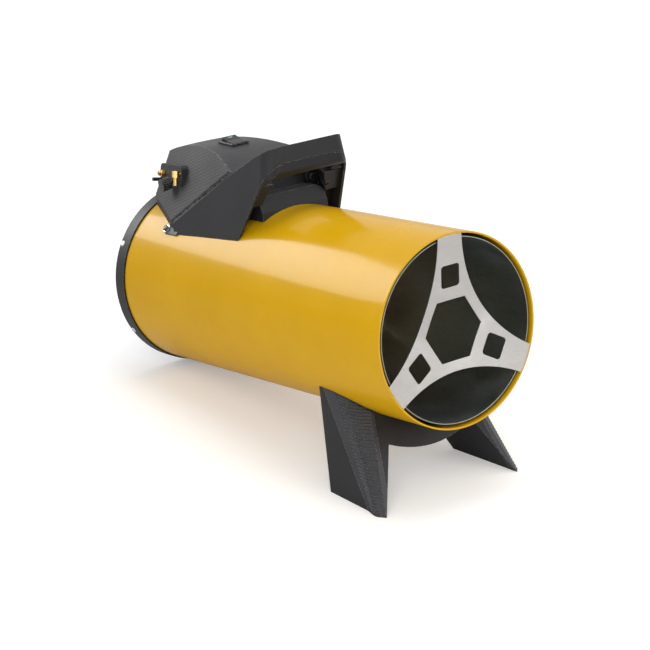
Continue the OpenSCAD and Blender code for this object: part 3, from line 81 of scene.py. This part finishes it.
# %% [markdown]
# ## Helpers for node groups
# A finish is a small tree of shader nodes. Effects that several finishes share, such as
# grain or wear along edges, are best built once as a node group with named sockets, and
# then placed in each material with its own numbers. A few helpers keep that short: one starts
# a group, one adds a node, one places a group, and both of these fill in the sockets by name.

# %% Start a node group
def start_group(name, inputs, outputs):
    group = bpy.data.node_groups.new(name, "ShaderNodeTree")
    for label, kind, value in inputs:
        socket = group.interface.new_socket(label, in_out="INPUT", socket_type=kind)
        socket.default_value = value
    for label, kind in outputs:
        group.interface.new_socket(label, in_out="OUTPUT", socket_type=kind)
    return group, group.nodes.new("NodeGroupInput"), group.nodes.new("NodeGroupOutput")


NUMBER, VECTOR = "NodeSocketFloat", "NodeSocketVector"


# %% Add a node or a group with its values and links
def put(tree, kind, sockets=None, **settings):
    made = tree.nodes.new(kind)
    for name, value in settings.items():
        setattr(made, name, value)
    for name, value in (sockets or {}).items():
        if isinstance(value, bpy.types.NodeSocket):
            tree.links.new(value, made.inputs[name])
        else:
            made.inputs[name].default_value = value
    return made


def place(tree, group, sockets=None):
    return put(tree, "ShaderNodeGroup", sockets, node_tree=group)


# %% [markdown]
# ## Wear and painted highlights along the edges
# Corners of a work tool lose their finish first. The Bevel node gives the normal that a
# rounded edge would have; where it differs from the true normal there is an edge. Broken up
# with noise, that difference is a mask of the rubbed places. On the plastics, the pale colour
# laid on this mask is partly rubbed wear and partly a painted highlight along the edges. The
# same node's normal also makes sharp edges catch the light as softly as moulded or pressed
# ones do.

# %% Group: edge wear and painted highlights
edge_wear_and_highlight, ins, outs = start_group(
    "edge wear",
    [("Edge Width", NUMBER, 0.0008), ("Break-up", NUMBER, 900.0), ("Amount", NUMBER, 0.6)],
    [("Mask", NUMBER), ("Soft Normal", VECTOR)],
)
soft = put(edge_wear_and_highlight, "ShaderNodeBevel", {"Radius": ins.outputs["Edge Width"]},
           samples=6)
flat = put(edge_wear_and_highlight, "ShaderNodeNewGeometry")
same = put(edge_wear_and_highlight, "ShaderNodeVectorMath",
           {0: soft.outputs[0], 1: flat.outputs["Normal"]}, operation="DOT_PRODUCT")
edge = put(edge_wear_and_highlight, "ShaderNodeMapRange",
           {"Value": same.outputs["Value"], "From Min": 0.995, "From Max": 0.86})
where = put(edge_wear_and_highlight, "ShaderNodeTexCoord")
broken = put(edge_wear_and_highlight, "ShaderNodeTexNoise",
             {"Vector": where.outputs["Object"], "Scale": ins.outputs["Break-up"],
              "Detail": 3.0})
spots = put(edge_wear_and_highlight, "ShaderNodeMapRange",
            {"Value": broken.outputs["Fac"], "From Min": 0.42, "From Max": 0.62})
rubbed_and_highlit = put(edge_wear_and_highlight, "ShaderNodeMath", {0: edge.outputs[0], 1: spots.outputs[0]},
             operation="MULTIPLY")
scaled = put(edge_wear_and_highlight, "ShaderNodeMath", {0: rubbed_and_highlit.outputs[0], 1: ins.outputs["Amount"]},
             operation="MULTIPLY")
edge_wear_and_highlight.links.new(scaled.outputs[0], outs.inputs["Mask"])
edge_wear_and_highlight.links.new(soft.outputs[0], outs.inputs["Soft Normal"])
print("group ready:", edge_wear_and_highlight.name)

# %% [markdown]
# ## Fine grain
# Moulded plastic takes the spark-eroded skin of its mould, and paint dries with a faint
# orange peel. Both are small, even hills. Two noises of different size, added together,
# give a height for a Bump node that is neither a grid nor a blur.

# %% Group: fine grain
fine_grain, ins, outs = start_group(
    "fine grain",
    [("Grain", NUMBER, 1500.0), ("Softness", NUMBER, 0.5)],
    [("Height", NUMBER), ("Patches", NUMBER)],
)
where = put(fine_grain, "ShaderNodeTexCoord")
small = put(fine_grain, "ShaderNodeTexNoise",
            {"Vector": where.outputs["Object"], "Scale": ins.outputs["Grain"], "Detail": 2.0,
             "Roughness": ins.outputs["Softness"]})
wide_scale = put(fine_grain, "ShaderNodeMath", {0: ins.outputs["Grain"], 1: 0.23},
                 operation="MULTIPLY")
wide = put(fine_grain, "ShaderNodeTexNoise",
           {"Vector": where.outputs["Object"], "Scale": wide_scale.outputs[0], "Detail": 1.0})
both = put(fine_grain, "ShaderNodeMath", {0: small.outputs["Fac"], 1: wide.outputs["Fac"]},
           operation="ADD")
clouds = put(fine_grain, "ShaderNodeTexNoise",
             {"Vector": where.outputs["Object"], "Scale": 14.0, "Detail": 4.0})
fine_grain.links.new(both.outputs[0], outs.inputs["Height"])
fine_grain.links.new(clouds.outputs["Fac"], outs.inputs["Patches"])
print("group ready:", fine_grain.name)

# %% [markdown]
# ## Brushed streaks
# Sheet steel shows the lines of the rollers and of the brush. A noise whose coordinates are
# squeezed across the lines and stretched along them draws such streaks. The stretch is an
# input, because the guard is brushed across and the tube along its length.

# %% Group: brushed streaks
brushed_streaks, ins, outs = start_group(
    "brushed streaks",
    [("Stretch", VECTOR, (60.0, 1200.0, 1200.0)), ("Tilt", VECTOR, (0.0, 0.0, 0.0))],
    [("Streaks", NUMBER), ("Clouds", NUMBER)],
)
where = put(brushed_streaks, "ShaderNodeTexCoord")
turned = put(brushed_streaks, "ShaderNodeMapping",
             {"Vector": where.outputs["Object"], "Rotation": ins.outputs["Tilt"]})
squeezed = put(brushed_streaks, "ShaderNodeVectorMath",
               {0: turned.outputs[0], 1: ins.outputs["Stretch"]}, operation="MULTIPLY")
lines = put(brushed_streaks, "ShaderNodeTexNoise",
            {"Vector": squeezed.outputs[0], "Scale": 1.0, "Detail": 4.0, "Roughness": 0.6})
blots = put(brushed_streaks, "ShaderNodeTexNoise",
            {"Vector": where.outputs["Object"], "Scale": 22.0, "Detail": 5.0,
             "Distortion": 0.4})
brushed_streaks.links.new(lines.outputs["Fac"], outs.inputs["Streaks"])
brushed_streaks.links.new(blots.outputs["Fac"], outs.inputs["Clouds"])
print("group ready:", brushed_streaks.name)

# %% [markdown]
# ## Settled dust
# A heater that stands in a workshop gathers a little dust on what faces up. The true
# normal's upward part, times a noise, is where it lies. It only lightens the colour, so
# that it is felt more than seen.

# %% Group: settled dust
settled_dust, ins, outs = start_group(
    "settled dust", [("Amount", NUMBER, 0.15)], [("Mask", NUMBER)])
flat = put(settled_dust, "ShaderNodeNewGeometry")
parts = put(settled_dust, "ShaderNodeSeparateXYZ", {0: flat.outputs["Normal"]})
upward = put(settled_dust, "ShaderNodeMapRange",
             {"Value": parts.outputs["Z"], "From Min": 0.35, "From Max": 1.0})
where = put(settled_dust, "ShaderNodeTexCoord")
motes = put(settled_dust, "ShaderNodeTexNoise",
            {"Vector": where.outputs["Object"], "Scale": 60.0, "Detail": 8.0,
             "Roughness": 0.7})
lies = put(settled_dust, "ShaderNodeMapRange",
           {"Value": motes.outputs["Fac"], "From Min": 0.35, "From Max": 0.8})
laid = put(settled_dust, "ShaderNodeMath", {0: upward.outputs[0], 1: lies.outputs[0]},
           operation="MULTIPLY")
faint = put(settled_dust, "ShaderNodeMath", {0: laid.outputs[0], 1: ins.outputs["Amount"]},
            operation="MULTIPLY")
settled_dust.links.new(faint.outputs[0], outs.inputs["Mask"])
print("group ready:", settled_dust.name)


# %% [markdown]
# ## Helpers for the materials
# Each material ends in one Principled BSDF. Numbers that are the same all over the surface
# are set on its own sockets; only what changes over the surface comes from nodes. Two small
# helpers mix two colours by a mask and turn a mask into a range of roughness.

# %% Start a material and mix in it
def start_material(name, **sockets):
    made = bpy.data.materials.new(name)
    made.use_nodes = True
    shader = made.node_tree.nodes["Principled BSDF"]
    for label, value in sockets.items():
        shader.inputs[label.replace("_", " ")].default_value = value
    return made, made.node_tree, shader


def blend_colours(tree, mask, first, second):
    mixed = put(tree, "ShaderNodeMix", data_type="RGBA")
    tree.links.new(mask, mixed.inputs[0])
    for place_no, colour in ((6, first), (7, second)):
        if isinstance(colour, bpy.types.NodeSocket):
            tree.links.new(colour, mixed.inputs[place_no])
        else:
            mixed.inputs[place_no].default_value = (*colour, 1.0)
    return mixed.outputs[2]


def spread(tree, value, low, high, low_in=0.3, high_in=0.7):
    ranged = put(tree, "ShaderNodeMapRange",
                 {"Value": value, "From Min": low_in, "From Max": high_in,
                  "To Min": low, "To Max": high})
    return ranged.outputs[0]


def add_bump(tree, shader, height, depth, strength=1.0, normal=None):
    bump = put(tree, "ShaderNodeBump",
               {"Height": height, "Distance": depth, "Strength": strength})
    if normal is not None:
        tree.links.new(normal, bump.inputs["Normal"])
    tree.links.new(bump.outputs[0], shader.inputs["Normal"])


finishes = {}

# %% [markdown]
# ## The drum's yellow paint
# The outer casing is rolled sheet steel with a baked yellow enamel. It is glossy enough to
# mirror the handle and the studio, so it has a clear coat over a fairly smooth base. The
# yellow drifts a little in depth, the coat has a faint orange peel, and at the cut rims the
# paint is thin and shows primer.

# %% Material: baked yellow enamel
enamel, tree, shader = start_material(
    "baked yellow enamel", Coat_Weight=0.13, Coat_Roughness=0.08, Specular_IOR_Level=0.05)
grain = place(tree, fine_grain, {"Grain": 420.0})
wear_and_highlight = place(tree, edge_wear_and_highlight, {"Edge Width": 0.0007, "Break-up": 700.0, "Amount": 0.75})
dust = place(tree, settled_dust, {"Amount": 0.05})
drift = blend_colours(tree, spread(tree, grain.outputs["Patches"], 0.0, 1.0),
                      (0.672, 0.368, 0.0006), (0.712, 0.394, 0.0008))
dusty = blend_colours(tree, dust.outputs["Mask"], drift, (0.62, 0.52, 0.33))
worn = blend_colours(tree, wear_and_highlight.outputs["Mask"], dusty, (0.42, 0.38, 0.33))
tree.links.new(worn, shader.inputs["Base Color"])
tree.links.new(spread(tree, grain.outputs["Patches"], 0.20, 0.28),
               shader.inputs["Roughness"])
add_bump(tree, shader, grain.outputs["Height"], 0.00002, 0.5, wear_and_highlight.outputs["Soft Normal"])
finishes["paint_yellow"] = enamel
print("finish:", enamel.name)

# %% [markdown]
# ## The combustion tube's heated steel
# The inner tube is bare aluminised steel. Near the flame it has turned straw and brown, and
# towards the outlet it stays dull grey. A streak noise runs along the tube, and a heat
# stain comes from the place along the drum's axis, broken up by clouds.

# %% Material: heat-stained steel
heated, tree, shader = start_material("heat-stained steel", Metallic=1.0)
lines = place(tree, brushed_streaks, {"Stretch": (900.0, 40.0, 900.0)})
wear_and_highlight = place(tree, edge_wear_and_highlight, {"Edge Width": 0.0006, "Break-up": 900.0, "Amount": 0.9})
where = put(tree, "ShaderNodeTexCoord")
parts = put(tree, "ShaderNodeSeparateXYZ", {0: where.outputs["Object"]})
stain = put(tree, "ShaderNodeMath",
            {0: spread(tree, parts.outputs["Y"], 0.0, 0.9, low_in=-0.20, high_in=0.02),
             1: spread(tree, lines.outputs["Clouds"], 0.45, 1.0)}, operation="MULTIPLY")
grey = blend_colours(tree, spread(tree, lines.outputs["Streaks"], 0.0, 1.0),
                     (0.31, 0.345, 0.335), (0.42, 0.455, 0.44))
brown = blend_colours(tree, stain.outputs[0], grey, (0.46, 0.40, 0.28))
bright = blend_colours(tree, wear_and_highlight.outputs["Mask"], brown, (0.62, 0.61, 0.58))
tree.links.new(bright, shader.inputs["Base Color"])
tree.links.new(spread(tree, lines.outputs["Clouds"], 0.34, 0.5), shader.inputs["Roughness"])
add_bump(tree, shader, lines.outputs["Streaks"], 0.00003, 0.5, wear_and_highlight.outputs["Soft Normal"])
finishes["tube_steel"] = heated
print("finish:", heated.name)

# %% [markdown]
# ## The outlet guard's brushed steel
# The three-armed guard is pressed from a pale, brushed stainless sheet. Its lines run
# across the face, and soft clouds of a darker, browner tone lie over it.

# %% Material: brushed guard steel
guard_metal, tree, shader = start_material(
    "brushed guard steel", Metallic=1.0, Anisotropic=0.35)
lines = place(tree, brushed_streaks, {"Stretch": (45.0, 1400.0, 1400.0)})
wear_and_highlight = place(tree, edge_wear_and_highlight, {"Edge Width": 0.0005, "Break-up": 1200.0, "Amount": 0.8})
pale = blend_colours(tree, spread(tree, lines.outputs["Streaks"], 0.0, 1.0),
                     (0.48, 0.465, 0.45), (0.58, 0.565, 0.545))
patched = blend_colours(tree, spread(tree, lines.outputs["Clouds"], 0.0, 0.35),
                        pale, (0.44, 0.405, 0.36))
bright = blend_colours(tree, wear_and_highlight.outputs["Mask"], patched, (0.86, 0.85, 0.83))
tree.links.new(bright, shader.inputs["Base Color"])
tree.links.new(spread(tree, lines.outputs["Streaks"], 0.32, 0.46),
               shader.inputs["Roughness"])
add_bump(tree, shader, lines.outputs["Streaks"], 0.00003, 0.6, wear_and_highlight.outputs["Soft Normal"])
finishes["guard_steel"] = guard_metal
print("finish:", guard_metal.name)


# %% [markdown]
# ## The plastics
# The hood, handle, stand and rear ring are one dark grey, glass-filled plastic with a fine
# matt skin. The hood's side panels have a coarser skin of tiny diagonal dots, and the
# switch, knob and buttons are smoother and nearly black. They are one recipe with different
# numbers, so a function makes them all. Their edges take a pale colour that is partly rubbed
# wear and partly a painted highlight. The legs' ribs are so close together that light
# hardly reaches their valleys; there an Ambient Occlusion node finds the hollows and paints
# shade into them, a pale ridge colour paints a highlight along each rib, and the rounding
# of edges is kept small so that the ribs stay crisp.

# %% A recipe for moulded plastic
def moulded_plastic(name, shade, pale_shade, rough, grain_size, grain_depth, dusty_amount,
                    edge_width=0.0009, hollow_shade=None, ridge_highlight_shade=None):
    made, tree, shader = start_material(name, Specular_IOR_Level=0.22)
    grain = place(tree, fine_grain, {"Grain": grain_size, "Softness": 0.65})
    wear_and_highlight = place(tree, edge_wear_and_highlight,
                 {"Edge Width": edge_width, "Break-up": 500.0, "Amount": 0.85})
    dust = place(tree, settled_dust, {"Amount": dusty_amount})
    base = blend_colours(tree, spread(tree, grain.outputs["Patches"], 0.0, 1.0),
                         shade, pale_shade)
    dusted_and_shaded = blend_colours(tree, dust.outputs["Mask"], base, (0.26, 0.25, 0.23))
    if hollow_shade is not None:
        # painted shade: the hollows between the ribs are darkened to near black
        nearby = put(tree, "ShaderNodeAmbientOcclusion", {"Distance": 0.004}, samples=8)
        hollows = spread(tree, nearby.outputs["AO"], 1.0, 0.0, low_in=0.55, high_in=1.0)
        dusted_and_shaded = blend_colours(tree, hollows, dusted_and_shaded, hollow_shade)
    # the pale colour on the edges is partly rubbed wear and partly a painted highlight
    rubbed_and_highlight_shade = ridge_highlight_shade or tuple(part * 3.0 + 0.26 for part in pale_shade)
    rubbed_and_highlit = blend_colours(tree, wear_and_highlight.outputs["Mask"], dusted_and_shaded, rubbed_and_highlight_shade)
    tree.links.new(rubbed_and_highlit, shader.inputs["Base Color"])
    tree.links.new(spread(tree, grain.outputs["Patches"], rough - 0.05, rough + 0.05),
                   shader.inputs["Roughness"])
    add_bump(tree, shader, grain.outputs["Height"], grain_depth, 0.6,
             wear_and_highlight.outputs["Soft Normal"])
    return made


finishes["plastic_dark"] = moulded_plastic(
    "matt grey moulding", (0.019, 0.0195, 0.022), (0.025, 0.0255, 0.0285), rough=0.48,
    grain_size=1700.0, grain_depth=0.00008, dusty_amount=0.07)
# the ribs get painted shade in their valleys and a painted highlight on their ridges
finishes["ribbed_leg"] = moulded_plastic(
    "ribbed leg moulding", (0.040, 0.041, 0.046), (0.054, 0.055, 0.061), rough=0.36,
    grain_size=1700.0, grain_depth=0.00004, dusty_amount=0.04, edge_width=0.00035,
    hollow_shade=(0.001, 0.001, 0.0015), ridge_highlight_shade=(0.62, 0.63, 0.66))
finishes["plastic_black"] = moulded_plastic(
    "smooth black moulding", (0.012, 0.012, 0.013), (0.018, 0.018, 0.020), rough=0.36,
    grain_size=2600.0, grain_depth=0.00003, dusty_amount=0.05)
finishes["grille_paint"] = moulded_plastic(
    "black wire lacquer", (0.014, 0.014, 0.015), (0.022, 0.022, 0.023), rough=0.42,
    grain_size=900.0, grain_depth=0.00004, dusty_amount=0.12)
finishes["motor_paint"] = moulded_plastic(
    "motor housing lacquer", (0.055, 0.058, 0.064), (0.075, 0.078, 0.085), rough=0.40,
    grain_size=800.0, grain_depth=0.00005, dusty_amount=0.12)
print("plastics:", sorted(finishes))

# %% [markdown]
# ## The side panels' dotted skin
# The panels on the hood's flanks are set with rows of tiny raised dots, turned by forty-five
# degrees. A Voronoi texture without randomness is an even grid of cells, and its distance
# makes a round hill in each. The same hills set the colour too: the dots' tops are painted
# lighter and the gaps between them darker, a painted highlight and painted shade on the
# raised dots. The panel's edges take a pale colour that is partly rubbed wear and partly a
# painted highlight. The panels lie nearly upright along the drum, so the grid is drawn on
# the coordinates along and up, and turned.

# %% Material: dotted panel plastic
dotted, tree, shader = start_material("dotted panel plastic", Specular_IOR_Level=0.25)
where = put(tree, "ShaderNodeTexCoord")
turned = put(tree, "ShaderNodeMapping",
             {"Vector": where.outputs["Object"], "Rotation": (math.radians(45.0), 0.0, 0.0)})
dots = put(tree, "ShaderNodeTexVoronoi",
           {"Vector": turned.outputs[0], "Scale": 420.0, "Randomness": 0.0})
grain = place(tree, fine_grain, {"Grain": 2400.0, "Softness": 0.6})
wear_and_highlight = place(tree, edge_wear_and_highlight, {"Edge Width": 0.0011, "Break-up": 300.0, "Amount": 0.95})
hills = spread(tree, dots.outputs["Distance"], 1.0, 0.0, low_in=0.15, high_in=0.5)
# painted highlight on the dots' tops and painted shade in the gaps between them
shade = blend_colours(tree, hills, (0.012, 0.012, 0.0135), (0.046, 0.047, 0.051))
# pale edge colour: partly rubbed wear, partly a painted highlight along the edges
rubbed_and_highlit = blend_colours(tree, wear_and_highlight.outputs["Mask"], shade, (0.42, 0.42, 0.425))
tree.links.new(rubbed_and_highlit, shader.inputs["Base Color"])
tree.links.new(spread(tree, grain.outputs["Patches"], 0.50, 0.60), shader.inputs["Roughness"])
add_bump(tree, shader, hills, 0.00020, 0.9, wear_and_highlight.outputs["Soft Normal"])
finishes["plastic_panel"] = dotted
print("finish:", dotted.name)


# %% [markdown]
# ## The small metals
# Screws and brackets are zinc plated, the screws that hold the handle are blackened, the fan
# is pressed aluminium and the gas fittings are turned brass. Each is a metal with soft
# clouds of another tone, a little grain, and edges polished brighter by tools and fingers.

# %% A recipe for small metal parts
def small_metal(name, shade, other_shade, edge_shade, rough, grain_size):
    made, tree, shader = start_material(name, Metallic=1.0)
    grain = place(tree, fine_grain, {"Grain": grain_size, "Softness": 0.6})
    wear_and_highlight = place(tree, edge_wear_and_highlight,
                 {"Edge Width": 0.0004, "Break-up": 1500.0, "Amount": 0.7})
    where = put(tree, "ShaderNodeTexCoord")
    flakes = put(tree, "ShaderNodeTexVoronoi",
                 {"Vector": where.outputs["Object"], "Scale": 260.0})
    drift = spread(tree, flakes.outputs["Distance"], 0.0, 1.0, low_in=0.0, high_in=0.8)
    tone = blend_colours(tree, drift, shade, other_shade)
    bright = blend_colours(tree, wear_and_highlight.outputs["Mask"], tone, edge_shade)
    tree.links.new(bright, shader.inputs["Base Color"])
    tree.links.new(spread(tree, grain.outputs["Patches"], rough - 0.05, rough + 0.07),
                   shader.inputs["Roughness"])
    add_bump(tree, shader, grain.outputs["Height"], 0.00003, 0.5,
             wear_and_highlight.outputs["Soft Normal"])
    return made


finishes["zinc_steel"] = small_metal(
    "zinc plated steel", (0.56, 0.57, 0.58), (0.66, 0.67, 0.68), (0.85, 0.85, 0.85),
    rough=0.32, grain_size=900.0)
finishes["fan_aluminium"] = small_metal(
    "pressed fan aluminium", (0.70, 0.71, 0.72), (0.78, 0.79, 0.80), (0.90, 0.90, 0.91),
    rough=0.36, grain_size=700.0)
finishes["brass"] = small_metal(
    "turned brass", (0.66, 0.42, 0.12), (0.78, 0.54, 0.20), (0.92, 0.72, 0.36),
    rough=0.24, grain_size=1200.0)
finishes["black_screw"] = small_metal(
    "blackened screw steel", (0.05, 0.048, 0.046), (0.09, 0.086, 0.080), (0.62, 0.60, 0.56),
    rough=0.30, grain_size=900.0)
print("metals:", [finishes[key].name
                  for key in ("zinc_steel", "fan_aluminium", "brass", "black_screw")])


# %% [markdown]
# ## The board and its terminals
# Inside the hood sit a green control board and a white terminal block. They are seen only
# with the hood off, but they are finished too: the board has copper tracks that show
# through the green lacquer, and the block is a waxy white nylon.

# %% Materials: board lacquer and terminal nylon
lacquer, tree, shader = start_material("green board lacquer", Coat_Weight=0.3)
where = put(tree, "ShaderNodeTexCoord")
tracks = put(tree, "ShaderNodeTexBrick",
             {"Vector": where.outputs["Object"], "Scale": 160.0, "Mortar Size": 0.09,
              "Color1": (0.010, 0.085, 0.030, 1.0), "Color2": (0.012, 0.100, 0.036, 1.0),
              "Mortar": (0.050, 0.180, 0.060, 1.0)})
grain = place(tree, fine_grain, {"Grain": 900.0})
tree.links.new(tracks.outputs["Color"], shader.inputs["Base Color"])
tree.links.new(spread(tree, grain.outputs["Patches"], 0.28, 0.4), shader.inputs["Roughness"])
add_bump(tree, shader, tracks.outputs["Fac"], 0.00004, 0.6)
finishes["board_green"] = lacquer
finishes["terminal_white"] = moulded_plastic(
    "waxy terminal nylon", (0.60, 0.58, 0.53), (0.68, 0.66, 0.61), rough=0.42,
    grain_size=1500.0, grain_depth=0.00003, dusty_amount=0.1)
print("finishes in all:", len(finishes))

# %% [markdown]
# ## Dressing the sub-parts
# Each packed sub-part already carries a slot that names its finish. The materials made
# above go into those slots, so the solids keep their exact shape and gain a surface. The
# leg ribs and the handle's screws take a finish of their own.

# %% Put the finishes on the sub-parts
own_finish = {"leg_ribs_left": "ribbed_leg", "leg_ribs_right": "ribbed_leg",
              "yoke_screws": "black_screw"}
dressed = {}
for name, sub_part in heater_nodes.items():
    for slot in sub_part.material_slots:
        key = own_finish.get(name, slot.material.name.split(".")[0])
        slot.material = finishes[key]
        dressed.setdefault(key, []).append(name)
for key, names in sorted(dressed.items()):
    print(key, "on", len(names))

# %% [markdown]
# ## The switch's lamp
# A small green lens sits near the raised end of the rocker and lights up when the fan runs.
# It is a shallow oval dome, too small to be a solid of its own, so it is made here from a
# grid of rings and rides on the rocker. The rocker's place repeats the sizes of the part's
# source: the switch stands on the hood's crest and turns about a pin below it.

# %% The rocker's frame in metres
casing_radius, casing_length = 0.112, 0.522
lean = math.radians(9.6)
switch_from_rear, switch_height, switch_lean = 0.114, 0.179, math.radians(3.0)
rocker_pivot_depth, rocker_turn = 0.0034, math.radians(11.0)
ring_end, ring_radius, ring_round = 0.5431, 0.1141, 0.002
axis_z = ((ring_end - ring_round) * math.sin(lean)
          + (ring_radius - ring_round) * math.cos(lean) + ring_round)
rear_reach = ((ring_end - ring_round) * math.cos(lean)
              + (ring_radius - ring_round) * math.sin(lean) + ring_round)
axis_y = -(rear_reach - casing_radius * math.sin(lean)) / 2
heater_frame = Matrix.Translation((0, axis_y, axis_z)) @ Matrix.Rotation(-lean, 4, "X")
switch_frame = (
    heater_frame
    @ Matrix.Translation((0, casing_length - switch_from_rear, switch_height))
    @ Matrix.Rotation(switch_lean, 4, "X"))
rocker_frame = (switch_frame @ Matrix.Translation((0, 0, -rocker_pivot_depth))
                @ Matrix.Rotation(rocker_turn, 4, "X"))
print("rocker at", [round(v, 4) for v in rocker_frame.translation])


# %% A shallow oval lens
lens_sides, lens_steps, lens_foot = 32, 6, 0.0006


def oval_lens(name, frame_at, half_wide, half_long, rise):
    shape = bmesh.new()
    turns = [k * math.pi / (lens_sides / 2) for k in range(lens_sides)]
    rings = []
    for step in range(lens_steps):
        share = math.cos(step / lens_steps * math.pi / 2)
        height = rise * math.sin(step / lens_steps * math.pi / 2)
        rings.append([shape.verts.new((half_wide * share * math.cos(turn),
                                       half_long * share * math.sin(turn), height))
                      for turn in turns])
    top = shape.verts.new((0, 0, rise))
    foot = [shape.verts.new((v.co.x, v.co.y, -lens_foot)) for v in rings[0]]
    for low, high in zip([foot] + rings[:-1], rings):
        for k in range(lens_sides):
            after = (k + 1) % lens_sides
            shape.faces.new((low[k], low[after], high[after], high[k]))
    for k in range(lens_sides):
        shape.faces.new((rings[-1][k], rings[-1][(k + 1) % lens_sides], top))
    shape.faces.new(list(reversed(foot)))
    mesh = bpy.data.meshes.new(name)
    shape.to_mesh(mesh)
    shape.free()
    mesh.shade_smooth()
    lens = bpy.data.objects.new(name, mesh)
    bpy.context.scene.collection.objects.link(lens)
    lens.matrix_world = frame_at
    return lens


# %% Material and place of the lamp
lamp_lens, tree, shader = start_material(
    "green lamp lens", Coat_Weight=0.6, Coat_Roughness=0.08)
grain = place(tree, fine_grain, {"Grain": 3000.0})
tint = blend_colours(tree, spread(tree, grain.outputs["Patches"], 0.0, 1.0),
                     (0.005, 0.30, 0.19), (0.010, 0.42, 0.28))
tree.links.new(tint, shader.inputs["Base Color"])
tree.links.new(spread(tree, grain.outputs["Patches"], 0.2, 0.3), shader.inputs["Roughness"])
add_bump(tree, shader, grain.outputs["Height"], 0.00002, 0.3)

lamp_behind_pin, rocker_top = 0.0078, 0.00823
lamp_at = rocker_frame @ Matrix.Translation((0, lamp_behind_pin, rocker_top))
rocker_lamp = oval_lens("rocker_lamp", lamp_at, half_wide=0.0032, half_long=0.0018,
                        rise=0.0006)
rocker_lamp.data.materials.append(lamp_lens)
bpy.context.view_layer.update()
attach(rocker_lamp, "rocker")
print("lamp faces:", len(rocker_lamp.data.polygons))

# %% [markdown]
# ## The studio
# The photograph is a cut-out on white with soft light from above and from the front. The
# floor is a plain, very pale disc that keeps the heater's shadow; far away, where the lamps
# reach it less, it is lifted a little more for the camera. What the camera and
# mirror rays see of the world is white, while the light that the world gives stays plain,
# so that each colour renders about as it is written. One lamp behind the heater is seen by
# mirror rays alone: it draws the long pale sheen along the drum's shoulder.

# %% The floor
floor_mesh = bpy.data.meshes.new("studio_floor")
floor_shape = bmesh.new()
bmesh.ops.create_circle(floor_shape, cap_ends=True, radius=14.0, segments=96)
floor_shape.to_mesh(floor_mesh)
floor_shape.free()
studio_floor = bpy.data.objects.new("studio_floor", floor_mesh)
bpy.context.scene.collection.objects.link(studio_floor)
studio_floor.location.z = cad_low.z

floor_finish, tree, shader = start_material("pale studio floor", Roughness=0.9)
shader.inputs["Base Color"].default_value = (0.86, 0.86, 0.86, 1.0)
shader.inputs["Specular IOR Level"].default_value = 0.0
rays = put(tree, "ShaderNodeLightPath")
lift = put(tree, "ShaderNodeEmission", {"Color": (1.0, 1.0, 1.0, 1.0)})
where = put(tree, "ShaderNodeTexCoord")
away = put(tree, "ShaderNodeVectorMath", {0: where.outputs["Object"]}, operation="LENGTH")
far_lift = spread(tree, away.outputs["Value"], 0.28, 0.53, low_in=1.0, high_in=3.5)
seen = put(tree, "ShaderNodeMath", {0: rays.outputs["Is Camera Ray"], 1: far_lift},
           operation="MULTIPLY")
tree.links.new(seen.outputs[0], lift.inputs["Strength"])
joined = put(tree, "ShaderNodeAddShader", {0: shader.outputs[0], 1: lift.outputs[0]})
tree.links.new(joined.outputs[0], tree.nodes["Material Output"].inputs["Surface"])
studio_floor.data.materials.append(floor_finish)
print("floor at", round(studio_floor.location.z, 4))

# %% The world
world = bpy.data.worlds.new("white studio")
bpy.context.scene.world = world
world.use_nodes = True
tree = world.node_tree
air = tree.nodes["Background"]
air.inputs["Color"].default_value = (1.0, 1.0, 1.0, 1.0)
air.inputs["Strength"].default_value = 0.55
white = put(tree, "ShaderNodeBackground", {"Color": (1.0, 1.0, 1.0, 1.0), "Strength": 1.0})
rays = put(tree, "ShaderNodeLightPath")
through = put(tree, "ShaderNodeMath",
              {0: rays.outputs["Is Camera Ray"], 1: rays.outputs["Is Transmission Ray"]},
              operation="MAXIMUM")
seen = put(tree, "ShaderNodeMath",
           {0: through.outputs[0], 1: rays.outputs["Is Glossy Ray"]}, operation="MAXIMUM")
either = put(tree, "ShaderNodeMixShader",
             {0: seen.outputs[0], 1: air.outputs[0], 2: white.outputs[0]})
tree.links.new(either.outputs[0], tree.nodes["World Output"].inputs["Surface"])


# %% The soft lamps
def soft_lamp(name, place_at, aim_at, size, power):
    lamp_data = bpy.data.lights.new(name, "AREA")
    lamp_data.shape = "RECTANGLE"
    lamp_data.size, lamp_data.size_y = size
    lamp_data.energy = power
    lamp = bpy.data.objects.new(name, lamp_data)
    bpy.context.scene.collection.objects.link(lamp)
    lamp.location = place_at
    look = Vector(aim_at) - Vector(place_at)
    lamp.rotation_euler = look.to_track_quat("-Z", "Y").to_euler()
    return lamp


middle = (cad_low + cad_high) / 2
soft_lamp("overhead_softbox", (0.2, 0.3, 2.4), middle, size=(1.6, 1.6), power=22.0)
soft_lamp("front_left_softbox", (-1.45, -1.5, 1.5), middle, size=(1.2, 1.2), power=17.0)
soft_lamp("front_right_softbox", (0.9, -2.2, 1.1), middle, size=(1.2, 1.2), power=14.0)
sheen = soft_lamp("rear_sheen_softbox", (-0.85, 2.3, 1.25), middle, size=(1.5, 0.9),
                  power=46.0)
sheen.visible_diffuse = False
bpy.context.scene.view_settings.view_transform = "Standard"
print("lamps:", len(bpy.data.lights))
